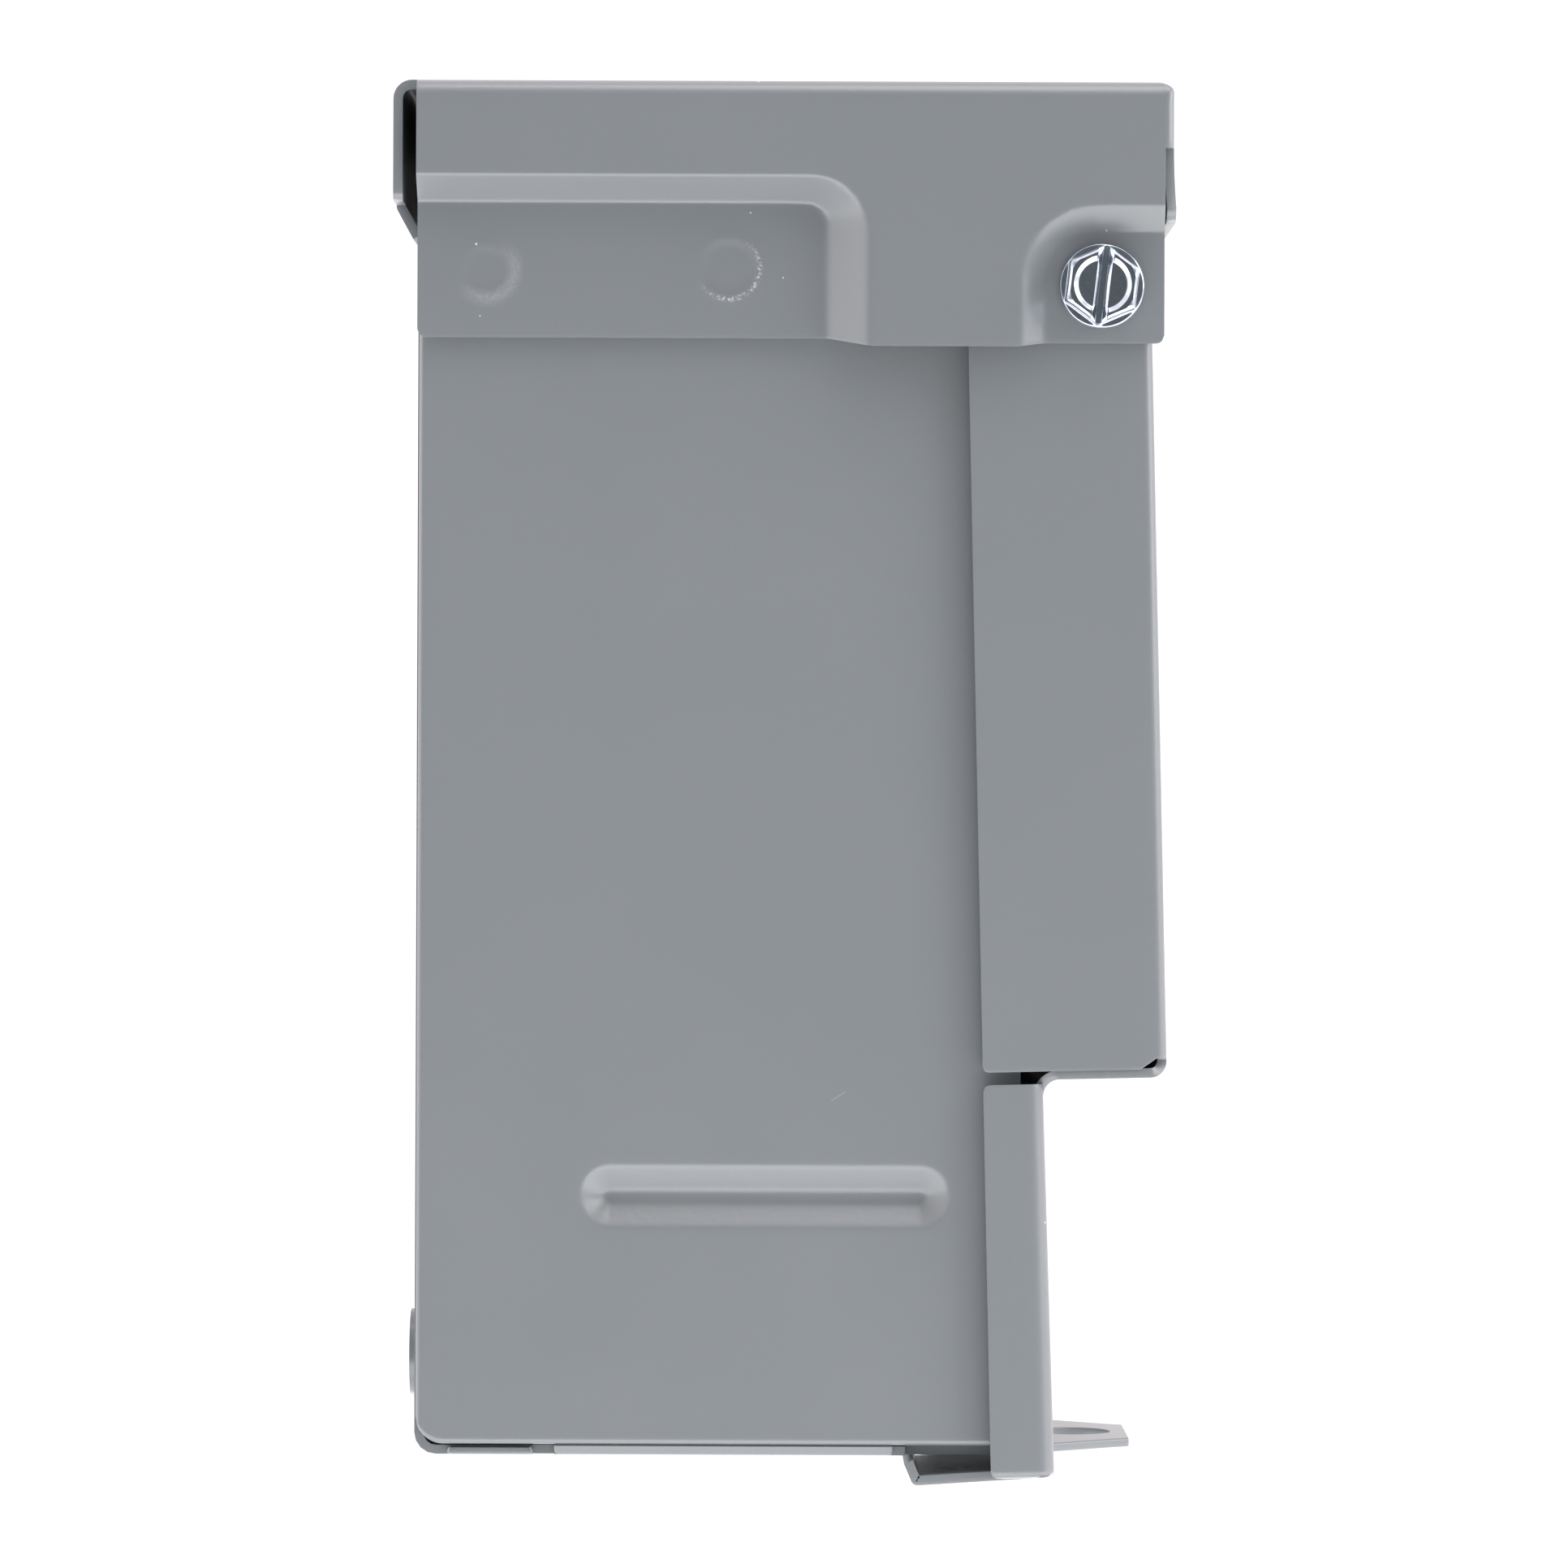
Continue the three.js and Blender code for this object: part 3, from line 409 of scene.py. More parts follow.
def mixed(tree, factor, a, b):
    """Two colours mixed by a mask; each is a colour or a socket."""
    made = tree.nodes.new("ShaderNodeMix")
    made.data_type = "RGBA"
    tree.links.new(factor, made.inputs["Factor"])
    for socket, value in ((made.inputs[6], a), (made.inputs[7], b)):
        if isinstance(value, bpy.types.NodeSocket):
            tree.links.new(value, socket)
        else:
            socket.default_value = (*value, 1)
    return made.outputs[2]


def varied(tree, low, high, scale, detail=2.0):
    """A value that drifts between about low and high over the surface."""
    where = node(tree, "ShaderNodeTexCoord").outputs["Object"]
    noise = node(tree, "ShaderNodeTexNoise", [("Vector", where), ("Scale", scale), ("Detail", detail)])
    spread = 1.6 * (high - low)
    return maths(tree, "MULTIPLY_ADD", noise.outputs["Fac"], spread, (low + high - spread) / 2)


def rim_highlight_group():
    """A painted highlight along a round clinch's rim: a ring, kept on its lower front part where it catches the
    light, and broken up where a fine noise is high.

    Places are measured across the box's side only, so the same ring serves both sides.
    """
    tree, given, out = group(
        "Painted rim highlight",
        [("Centre", "NodeSocketVector", (0.0, 0.0, 0.0)), ("Radius", "NodeSocketFloat", 0.004),
         ("Width", "NodeSocketFloat", 0.0005), ("Chips", "NodeSocketFloat", 0.5)],
        [("Mask", "NodeSocketFloat")],
    )
    where = node(tree, "ShaderNodeTexCoord").outputs["Object"]
    offset = node(tree, "ShaderNodeVectorMath", [(0, where), (1, given.outputs["Centre"])],
                  operation="SUBTRACT")
    flat = node(tree, "ShaderNodeVectorMath", [(0, offset.outputs[0]), (1, (0, 1, 1))], operation="MULTIPLY")
    reach = node(tree, "ShaderNodeVectorMath", [(0, flat.outputs[0])], operation="LENGTH").outputs["Value"]
    fine = node(tree, "ShaderNodeTexNoise", [("Vector", where), ("Scale", 2600.0), ("Detail", 2.0)])
    past = maths(tree, "ABSOLUTE", maths(tree, "SUBTRACT", reach, given.outputs["Radius"]))
    ring = node(tree, "ShaderNodeMapRange", [("Value", past), ("From Min", given.outputs["Width"]),
                                             ("From Max", 0.0)],
                interpolation_type="SMOOTHSTEP").outputs["Result"]
    parts = node(tree, "ShaderNodeSeparateXYZ", [("Vector", flat.outputs[0])])
    # keeps only the ring's lower front side, where the painted highlight falls
    lean = maths(tree, "MULTIPLY", maths(tree, "ADD", parts.outputs["Y"], parts.outputs["Z"]), -1.0)
    share = maths(tree, "DIVIDE", lean, given.outputs["Radius"])
    side = node(tree, "ShaderNodeMapRange", [("Value", share), ("From Min", -0.6), ("From Max", 0.9)],
                interpolation_type="SMOOTHSTEP").outputs["Result"]
    rough = node(tree, "ShaderNodeMapRange", [("Value", fine.outputs["Fac"]),
                                              ("From Min", given.outputs["Chips"]),
                                              ("From Max", 0.62)]).outputs["Result"]
    kept = maths(tree, "MULTIPLY", ring, side)
    tree.links.new(maths(tree, "MULTIPLY", kept, rough), out.inputs["Mask"])
    return tree


def bumped(tree, shader, height, strength, distance):
    bump = node(tree, "ShaderNodeBump", [("Height", height), ("Strength", strength), ("Distance", distance)])
    tree.links.new(bump.outputs["Normal"], shader.inputs["Normal"])


PAINT_DARK = (0.194, 0.211, 0.221)
PAINT_LIGHT = (0.200, 0.217, 0.227)
DUST = (0.62, 0.62, 0.61)
RIM_HIGHLIGHT_COLOUR = (0.56, 0.55, 0.55)
RIM_HIGHLIGHT = rim_highlight_group()


def painted_steel(name="grey powder coat", rims=()):
    """Satin grey powder coat with dust specks, a few hairline scratches, and a painted highlight along the rims
    given.

    A rim is its out and up, its radius and width in millimetres, the noise level where the highlight breaks up,
    and how strongly the highlight shows.
    """
    material, tree, shader = surface(name)
    tone = varied(tree, 0.0, 1.0, 28.0)
    colour = mixed(tree, tone, PAINT_DARK, PAINT_LIGHT)
    dust = placed(tree, SPECKS, Scale=330.0, Share=0.1, Size=0.055).outputs["Mask"]
    scratch = placed(tree, SCRATCHES, Scale=110.0, Width=0.008, Share=0.035, Length=0.13).outputs["Mask"]
    colour = mixed(tree, dust, colour, DUST)
    faint = maths(tree, "MULTIPLY", scratch, 0.2)
    colour = mixed(tree, faint, colour, DUST)
    # painted highlight: each clinch's rim is lightened on its lower front side, broken up by noise
    for out, up, radius, width, breakup, strength in rims:
        highlight_mask = placed(tree, RIM_HIGHLIGHT, Centre=tuple(at(0, out, up)), Radius=radius * MM, Width=width * MM,
                      Chips=breakup).outputs["Mask"]
        colour = mixed(tree, maths(tree, "MULTIPLY", highlight_mask, strength), colour, RIM_HIGHLIGHT_COLOUR)
    tree.links.new(colour, shader.inputs["Base Color"])
    rough = varied(tree, 0.27, 0.33, 55.0)
    tree.links.new(maths(tree, "ADD", rough, maths(tree, "MULTIPLY", dust, 0.3)), shader.inputs["Roughness"])
    shader.inputs["Specular IOR Level"].default_value = 0.8
    skin = placed(tree, PAINT_SKIN, Peel_scale=1100.0, Unevenness=0.1).outputs["Height"]
    bumped(tree, shader, skin, 0.12, 0.0002)
    return material


def plated_metal(name, dark, light, rough, stretch=(1.0, 1.0, 1.0), bump=0.05):
    """Bare or plated metal: its tone and roughness follow a fine grain."""
    material, tree, shader = surface(name)
    grain = placed(tree, GRAIN, Stretch=stretch, Scale=1800.0).outputs["Value"]
    tree.links.new(mixed(tree, grain, dark, light), shader.inputs["Base Color"])
    drift = varied(tree, rough * 0.8, rough * 1.25, 260.0)
    tree.links.new(drift, shader.inputs["Roughness"])
    shader.inputs["Metallic"].default_value = 1.0
    bumped(tree, shader, grain, bump, 0.00005)
    return material


def moulding(name, dark, light, rough, texture_scale=1500.0, bump=0.15):
    """Moulded plastic: a spark-eroded texture, a slow drift of tone, and a little dust."""
    material, tree, shader = surface(name)
    colour = mixed(tree, varied(tree, 0.0, 1.0, 90.0), dark, light)
    dust = placed(tree, SPECKS, Scale=420.0, Share=0.03, Size=0.08).outputs["Mask"]
    dusty = mixed(tree, maths(tree, "MULTIPLY", dust, 0.6), colour, DUST)
    tree.links.new(dusty, shader.inputs["Base Color"])
    tree.links.new(varied(tree, rough * 0.9, rough * 1.15, 300.0), shader.inputs["Roughness"])
    skin = placed(tree, PAINT_SKIN, Peel_scale=texture_scale, Unevenness=0.1).outputs["Height"]
    bumped(tree, shader, skin, bump, 0.0001)
    return material


FINISHES = {
    "painted_steel": painted_steel(),
    "zinc_plated_steel": plated_metal("bright zinc plate", (0.46, 0.53, 0.62), (0.62, 0.66, 0.72), 0.13),
    "tinned_aluminium": plated_metal("tinned aluminium", (0.52, 0.53, 0.54), (0.64, 0.64, 0.64), 0.36,
                                     (1, 1, 0.08), 0.1),
    "copper": plated_metal("bare copper", (0.60, 0.28, 0.17), (0.74, 0.38, 0.24), 0.28),
    "silver_contact": plated_metal("silver plate", (0.70, 0.68, 0.63), (0.84, 0.82, 0.78), 0.25),
    "black_moulding": moulding("black thermoset", (0.013, 0.013, 0.014), (0.02, 0.02, 0.021), 0.5),
    "toggle_moulding": moulding("smooth black nylon", (0.018, 0.019, 0.021), (0.026, 0.027, 0.029), 0.33,
                                900.0, 0.06),
    "crossbar_moulding": moulding("red thermoset", (0.24, 0.014, 0.010), (0.30, 0.020, 0.014), 0.5),
    "nylon": moulding("natural nylon", (0.64, 0.62, 0.54), (0.72, 0.70, 0.62), 0.5, 700.0, 0.08),
    "spring_steel": plated_metal("oiled spring wire", (0.24, 0.25, 0.27), (0.34, 0.35, 0.37), 0.3),
}
PAINT = FINISHES["painted_steel"]


# ------------------------------------------------------------------ rain hood

TOP_BEND = 2.6  # outer radius along the hood's sides
FRONT_SET = 2.6  # how far back the front bend starts
FRONT_DROP = 1.5  # and how far down it ends
CORNER = 1.2  # radius of the closed front corners
CORNER_END = 180.3  # the corners are closed down to here; below, the lip stands free
LIP_END = 170.2
FLANGE_END = 172.9
# A pad's slope runs from its edge (out) and high (up) lines, with a corner of radius outer, down to its
# foot (out) and low (up) lines, with a corner of radius inner, and the pad lies its drop below the side.
CLINCH_PAD = {"edge": 62.2, "foot": 56.4, "high": 176.3, "low": 173.0, "outer": 8.0, "inner": 3.0,
              "drop": 4.6}
HINGE_PAD = {"edge": 83.0, "foot": 86.6, "high": 172.5, "low": 168.8, "outer": 10.6, "inner": 6.6,
             "drop": 2.1}
CLINCHES = ((9.5, 163.6, 3.15, 0.16), (42.9, 163.9, 3.9, 0.2))  # out, up, radius, depth
# the clinches' rims with a painted highlight on their lower front side, as painted_steel() takes them
HIGHLIGHTED_RIMS = ((9.5, 163.6, 3.9, 1.6, 0.2, 0.22), (42.9, 163.9, 4.3, 0.55, 0.47, 0.9))
EDGE_STEPS = np.array([0.3, 0.7, 1.1])  # rows of points close to a side's rear and front edges
WEB_HALF = 50.0  # half the width of the rear flange's web
WEB_FOOT = (-1.0, 168.3)  # out and up of the web's end


def clinch_marks(out, up):
    """Shallow round dents with a soft raised rim, one for each clinch."""
    depth = np.zeros_like(out)
    for centre_out, centre_up, radius, deep in CLINCHES:
        away = np.hypot(out - centre_out, up - centre_up)
        depth += deep * (1 - soft(away, radius - 0.7, radius, 0.2))
        depth -= 0.35 * deep * np.exp(-(((away - radius - 0.35) / 0.45) ** 2))
    return depth


def hood_depth(out, up):
    """How far the hood's side is pressed in: a deep pad at the lower rear, a shallow one at the front."""
    pad = CLINCH_PAD
    outer = past_corner(out - pad["edge"], up - pad["high"], pad["outer"])
    inner = past_corner(out - pad["foot"], up - pad["low"], pad["inner"])
    clinch = pad["drop"] * between(outer, inner)
    pad = HINGE_PAD
    outer = past_corner(pad["edge"] - out, up - pad["high"], pad["outer"])
    inner = past_corner(pad["foot"] - out, up - pad["low"], pad["inner"])
    return clinch + pad["drop"] * between(outer, inner) + clinch_marks(out, up)


def rain_hood():
    """The hood's outer face in welded grids.

    A band runs round left side, front and right side. It starts on the flat top, turns down through a
    quarter ellipse and ends where the front corners end. Below it hang the two pressed sides and the front
    lip, which are free of one another. The rear flange goes on from the top's rear edge, and its web leans
    back to the body.
    """
    skirt_front = HOOD_FRONT - CORNER
    inset_front = HOOD_FRONT - FRONT_SET
    half = HOOD_HALF - CORNER
    flat = HOOD_HALF - TOP_BEND
    outs = stations(0, skirt_front, 1.9, (9.5, 43, 59.3, 85), 0.5, 5.0)
    outs = np.unique(np.concatenate([outs, EDGE_STEPS, (skirt_front - EDGE_STEPS)]))
    turn = np.linspace(0, math.pi / 2, 6)[1:-1]
    edge = flat - np.array([0.25, 0.6, 1.2])
    across = np.unique(np.concatenate([np.linspace(-flat, flat, 41), [-WEB_HALF, WEB_HALF], edge, -edge]))
    wide = across * half / flat

    left = np.stack([np.full_like(outs, -HOOD_HALF), outs], -1)
    corner = np.stack([-half - CORNER * np.cos(turn), skirt_front + CORNER * np.sin(turn)], -1)
    front = np.stack([wide, np.full_like(wide, HOOD_FRONT)], -1)
    mirror = np.array([-1, 1])
    rim = np.concatenate([left, corner, front, corner[::-1] * mirror, left[::-1] * mirror])
    inset_left = np.stack([np.full_like(outs, -flat), np.minimum(outs, inset_front)], -1)
    inset_corner = np.tile([-flat, inset_front], (len(turn), 1))
    inset_line = np.stack([across, np.full_like(across, inset_front)], -1)
    inset = np.concatenate([inset_left, inset_corner, inset_line, inset_corner * mirror,
                            inset_left[::-1] * mirror])
    ahead = np.concatenate([np.zeros(len(outs)), np.sin(turn), np.ones(len(wide)), np.sin(turn)[::-1],
                            np.zeros(len(outs))])
    drop = TOP_BEND + (FRONT_DROP - TOP_BEND) * ahead

    bend = np.linspace(0, math.pi / 2, 9)[:, None]
    plan = inset[None] + (rim - inset)[None] * np.sin(bend)[..., None]
    ups = HEIGHT - drop[None] * (1 - np.cos(bend))
    below = np.linspace(0, 1, 9)[1:, None]
    plan = np.concatenate([plan, np.repeat(rim[None], len(below), 0)])
    ups = np.concatenate([ups, (HEIGHT - drop)[None] * (1 - below) + CORNER_END * below])
    band = at(plan[..., 0], plan[..., 1], ups)

    patches = [band]
    top_outs = np.unique(np.minimum(outs, inset_front))
    patches.append(at(across[None], top_outs[:, None], HEIGHT))

    rows = stations(0, 1, 0.021, (0.148, 0.27, 0.286, 0.4), 0.009, 0.035)[:, None]
    for _, sign in SIDES:
        ends = np.minimum(outs, skirt_front - outs)
        dip = 0.27 * hood_depth(outs, np.full_like(outs, HOOD_SKIRT))
        lower = HOOD_SKIRT + dip + edge_roll(ends, 1.1)
        side_ups = CORNER_END + (lower[None] - CORNER_END) * rows
        side_outs = np.broadcast_to(outs[None], side_ups.shape)
        patches.append(at(sign * (HOOD_HALF - hood_depth(side_outs, side_ups)), side_outs, side_ups))

    lip_rows = np.linspace(0, 1, 22)[:, None]
    lower = LIP_END + edge_roll(half - np.abs(wide), 2.0)
    lip_ups = CORNER_END + (lower[None] - CORNER_END) * lip_rows
    patches.append(at(wide[None], HOOD_FRONT + LIP_FLARE * lip_rows**2, lip_ups))

    rear = divided(path([(0, HEIGHT), (WALL_OUT, HEIGHT, TOP_BEND), (WALL_OUT, FLANGE_END)], 8), 2.0)
    rear_up = np.repeat(rear[:, 1:], len(across), 1)
    rear_up[-1] += edge_roll(flat - np.abs(across), 1.2)
    patches.append(at(across[None], rear[:, :1], rear_up))
    web = divided(path([(WALL_OUT, FLANGE_END), (WALL_OUT, FLANGE_END - 0.4, 1.5), WEB_FOOT], 4), 1.5)
    middle = across[np.abs(across) <= WEB_HALF + 0.001]
    patches.append(at(middle[None], web[:, :1], web[:, 1:]))
    piece = sheet("rain_hood_sheet", patches, (-1, 0, 0.3))
    paint = painted_steel("grey powder coat, clinched", HIGHLIGHTED_RIMS)
    finished(piece, "enclosure", paint, ["rain_hood"])


# ------------------------------------------------------------------ sides of the body

BEAD = {"from": 22.8, "to": 73.9, "centre": 35.75, "half": 4.25, "drop": 2.2, "end": 4.3}


def bead_depth(out, up):
    """A trough pressed inwards: sloping walls to a narrow flat floor, and ends rounded like half a bowl."""
    b = BEAD
    past_end = np.maximum(b["from"] + b["end"] - out, out - (b["to"] - b["end"]))
    along = np.maximum(past_end, 0) / b["end"] * b["half"]
    away = np.hypot(along, up - b["centre"])
    wall = soft(away, b["half"], 0.95, 0.12)
    crown = np.exp(-((away / 1.2) ** 2)) * 0.12
    return b["drop"] * wall + crown


SIDE_REAR, SIDE_FRONT = 0.2, 83.6  # out
SIDE_FLANGES = (  # name, how far in from the outer face, start, end and inner end of the x range
    ("rear_flange", 8, 150, 51),
    ("lower_flange", 20, 66, 44),
)
FLANGE_LEVEL = 1.6  # the flanges lie this far in from the back's and the bottom's outer faces


def side_front(up):
    """The front edge of a side: straight, with a rounded ear round the hinge screw."""
    return SIDE_FRONT + 16.0 * soft(up, 143, 156, 0.15) * soft(up, 176, 168, 0.15)


def body_side(side, sign):
    """One side: a flat sheet with the bead, turned in by a small radius along its rear and lower edges."""
    rear, lower, corner, turn = SIDE_REAR, 1.5, 3.9, 0.8
    outs = stations(rear, SIDE_FRONT, 2.0, (rear, BEAD["from"] + 2.5, BEAD["to"] - 2.5), 0.25, 3.5)
    to_corner = np.clip(rear + corner - outs, 0, corner)
    floor = lower + corner - np.sqrt(np.maximum(corner**2 - to_corner**2, 0))
    fine = np.array([0, 0.1, 0.25, 0.45, 0.7, 1.0, 1.5])
    ups = np.concatenate([fine, stations(2.2, 28.5, 1.6), stations(29, 40, 0.28),
                          stations(40.6, SIDE_TOP - lower, 2.2)])
    share = 1 - soft(ups, 4, 24, 0.05)
    grid_up = lower + ups[:, None] + (floor - lower)[None] * share[:, None]
    grid_up[-1] = SIDE_TOP
    grid_out = np.broadcast_to(outs[None], grid_up.shape)
    reach = np.clip((grid_out - 70) / 13.6, 0, 1)
    grid_out = grid_out + reach * (side_front(grid_up) - SIDE_FRONT)
    near_edge = np.minimum(grid_out - rear, ups[:, None] + 0 * grid_out)
    x = BODY_HALF - bead_depth(grid_out, grid_up) - edge_roll(near_edge, turn)
    piece = sheet(f"side_{side}_sheet", [at(sign * x, grid_out, grid_up)], (sign, 0, 0), edge=0.1)
    finished(piece, "enclosure", PAINT, [f"side_{side}"])

    root = BODY_HALF - SHEET - 0.2
    for name, start, end, inner in SIDE_FLANGES:
        x = np.linspace(root, inner, 5)
        along = np.linspace(start, end, 40)
        ends = edge_roll(np.minimum(along - start, end - along), 2.5)
        width = x[None] + (root - x[None]) * (ends[:, None] / 12)
        level = FLANGE_LEVEL + SHEET
        if name == "rear_flange":
            grid, facing = at(sign * width, level, along[:, None]), (0, -1, 0)
        else:
            grid, facing = at(sign * width, along[:, None], level), (0, 0, 1)
        strip = sheet(f"side_{side}_{name}", [grid], facing, edge=0.12)
        finished(strip, "enclosure", PAINT)


BOTTOM_BENDS = (  # name, from, to, profile as x, up and bend radius
    ("bottom_bend", 19.4, 66.2, [(51, -0.03), (54.45, -0.03, 0.8), (55.6, 1.25)]),
    ("bottom_tab", 4.6, 16.4, [(51, -0.03), (55.0, -0.03, 0.6), (55.0, 0.75, 0.25), (53.9, 1.1)]),
)


def bottom_bend(side, sign):
    """The bottom sheet's turned-up edge under the side: a strip before its relief notch, a tab behind it."""
    for name, start, end, profile in BOTTOM_BENDS:
        line = divided(path(profile, 8), 1.0)
        along = stations(start, end, 2.0, (start, end), 0.2, 1.0)[:, None]
        rise = edge_roll(np.minimum(along - start, end - along), 0.5)
        grid = at(sign * line[None, :, 0], along, line[None, :, 1] + rise * (line[None, :, 1] < 0.5))
        piece = sheet(f"{name}_{side}", [grid], (0, 0, -1), thick=0.4, edge=0.06)
        finished(piece, "enclosure", PAINT)


# ------------------------------------------------------------------ front cover

COVER_FACE = 7.0
COVER_REAR = COVER_FACE - 25.4
STEP_DOWN = 109.0
LOWER_FACE = COVER_FACE - 17.1
COVER_FOOT = 163.9
FOOT_LEAN = 0.5
HOOK_END = 29.1
UPPER_BEND = 1.5
LOWER_BEND = 2.1
STEP_BEND = 2.3
HASP_NOTCH = 25.0
FLANK, ROUND, FACE = 12, 8, 43  # places across a flange, a bend and the face


def channel(face, bend):
    """A cover's plan section: up one side flange, round a bend, across the face, and back the same way."""
    flank_outs = COVER_REAR + (face - bend - COVER_REAR) * np.linspace(0, 1, FLANK)
    flank = np.stack([np.full(FLANK, -COVER_HALF), flank_outs], -1)
    flank[1:4, 1] = COVER_REAR + np.array([0.3, 0.8, 1.6])
    turn = np.linspace(0, math.pi / 2, ROUND + 1)[1:-1]
    arc = np.stack([-COVER_HALF + bend * (1 - np.cos(turn)), face - bend * (1 - np.sin(turn))], -1)
    flat = COVER_HALF - bend
    notch = HASP_NOTCH / flat
    across = flat * np.sort(np.concatenate([np.linspace(-1, 1, FACE), [-notch, notch]]))
    middle = np.stack([across, np.full_like(across, face)], -1)
    mirror = np.array([-1, 1])
    return np.concatenate([flank, arc, middle, arc[::-1] * mirror, flank[::-1] * mirror])


def front_cover():
    """The cover's outer face: welded grids for its upper channel, its step, its lower channel and its hook.

    A channel's columns follow its plan section. Each column runs between its own two ends, so that the
    flanges end below the head, at the step and at the foot with rounded corners, and the bends end at a
    small relief.
    """
    upper, lower = channel(COVER_FACE, UPPER_BEND), channel(LOWER_FACE, LOWER_BEND)
    index = np.arange(len(upper))
    flank = np.minimum(index, index[::-1]) < FLANK
    flat = np.minimum(index, index[::-1]) >= FLANK + ROUND - 1
    behind = upper[:, 1] - COVER_REAR
    xs = upper[flat, 0]

    rows = np.concatenate([[0, 0.01, 0.02, 0.035], np.linspace(0.05, 0.95, 40),
                           [0.97, 0.98, 0.99, 0.995, 1]])[:, None]
    bend_start = -STEP_DOWN + STEP_BEND
    top = np.where(flank, 9 - edge_roll(behind, 2.5), np.where(flat, -7.5, 0))
    bottom = np.where(flank, -STEP_DOWN + 1.15 + edge_roll(behind, 0.7),
                      np.where(flat, bend_start, -STEP_DOWN + 2.6))
    bottom = bottom + np.where(flank, 1.5 * soft(upper[:, 1], COVER_FACE - 3.2, COVER_FACE - 1.5, 0.05), 0)
    ups = top[None] + (bottom - top)[None] * rows
    patches = [on_cover(upper[None, :, 0], upper[None, :, 1], ups)]

    step = divided(path([(COVER_FACE, bend_start), (COVER_FACE, -STEP_DOWN, STEP_BEND - 1e-3),
                         (LOWER_FACE, -STEP_DOWN, STEP_BEND), (LOWER_FACE, -STEP_DOWN - 3)], 8), 1.5)
    gone = np.cumsum(np.concatenate([[0], np.linalg.norm(np.diff(step, axis=0), axis=1)]))
    gone = gone / gone[-1]
    spread = 1.3 * soft(gone, 0.02, 0.16, 0.05) * soft(gone, 0.97, 0.8, 0.05)
    wide = xs[None] * (1 + spread[:, None] / (COVER_HALF - UPPER_BEND))
    narrow = lower[flat, 0]
    merge = soft(gone, 0.8, 1.0, 0.02)[:, None]
    merge[-1], merge[0] = 1, 0
    wide = wide * (1 - merge) + narrow[None] * merge
    patches.append(on_cover(wide, step[:, :1], step[:, 1:]))

    head = xs[np.abs(xs) <= 54.2]
    patches.append(on_cover(head[None], COVER_FACE, np.linspace(-7.5, 20, 12)[:, None]))

    foot = -COVER_FOOT
    behind = lower[:, 1] - COVER_REAR
    top = np.where(flat, -STEP_DOWN - 3, -STEP_DOWN - 0.6 - np.where(flank, edge_roll(behind, 0.9), 0))
    bottom = np.where(flat, foot + 1.5, foot + np.where(flank, edge_roll(behind, 1.0), 0.4))
    ups = top[None] + (bottom - top)[None] * rows
    tuck = np.where(flat, 0, 1)[None] * edge_roll(ups - foot, 0.9)
    near_face = np.clip((lower[:, 1] - LOWER_FACE + 4) / 4, 0, 1)
    lean = FOOT_LEAN * (ups - top[None]) / (foot - top[None]) * near_face
    ahead = lower[None, :, 1] + lean - np.where(flank | flat, 0, 1)[None] * tuck * 0.7
    inward = lower[None, :, 0] * (1 - tuck / COVER_HALF)
    patches.append(on_cover(inward, ahead, ups))

    hook_front = float(ahead[-1][flat][0])
    hook = divided(path([(hook_front, foot + 1.5), (hook_front, foot, 1.4), (-HOOK_END, foot - 0.83, 0.9),
                         (-HOOK_END - 1.2, foot + 2.2)], 6), 2.0)
    for sign in (-1, 1):
        part = narrow[narrow * sign >= HASP_NOTCH - 1e-6]
        patches.append(on_cover(part[None], hook[:, :1], hook[:, 1:]))
    piece = sheet("front_cover_sheet", patches, (-1, 0, 0))
    finished(piece, "cover", PAINT, ["front_cover"])


# ------------------------------------------------------------------ hinge screws

def hex_radius(angle, flats):
    """A hexagon's radius at an angle, with a corner at angle 0, across flats given."""
    sixth = math.pi / 3
    return flats / 2 / np.cos((angle % sixth) - sixth / 2)


# the slot's half width at each height above the washer's seat
SLOT_PROFILE = [(0.4, 2.9), (0.48, 3.2), (1.12, 3.8), (1.2, 4.2), (1.6, 5.4)]
SLOT_LEAN = 6.7  # degrees from upright
SLOT_REACH = 9.0  # half the length of the cutter, past the head on both sides
HEAD_HEIGHT = 4.3  # from the washer's seat
HEX_FLATS = 9.5
WASHER_RADIUS = 5.85


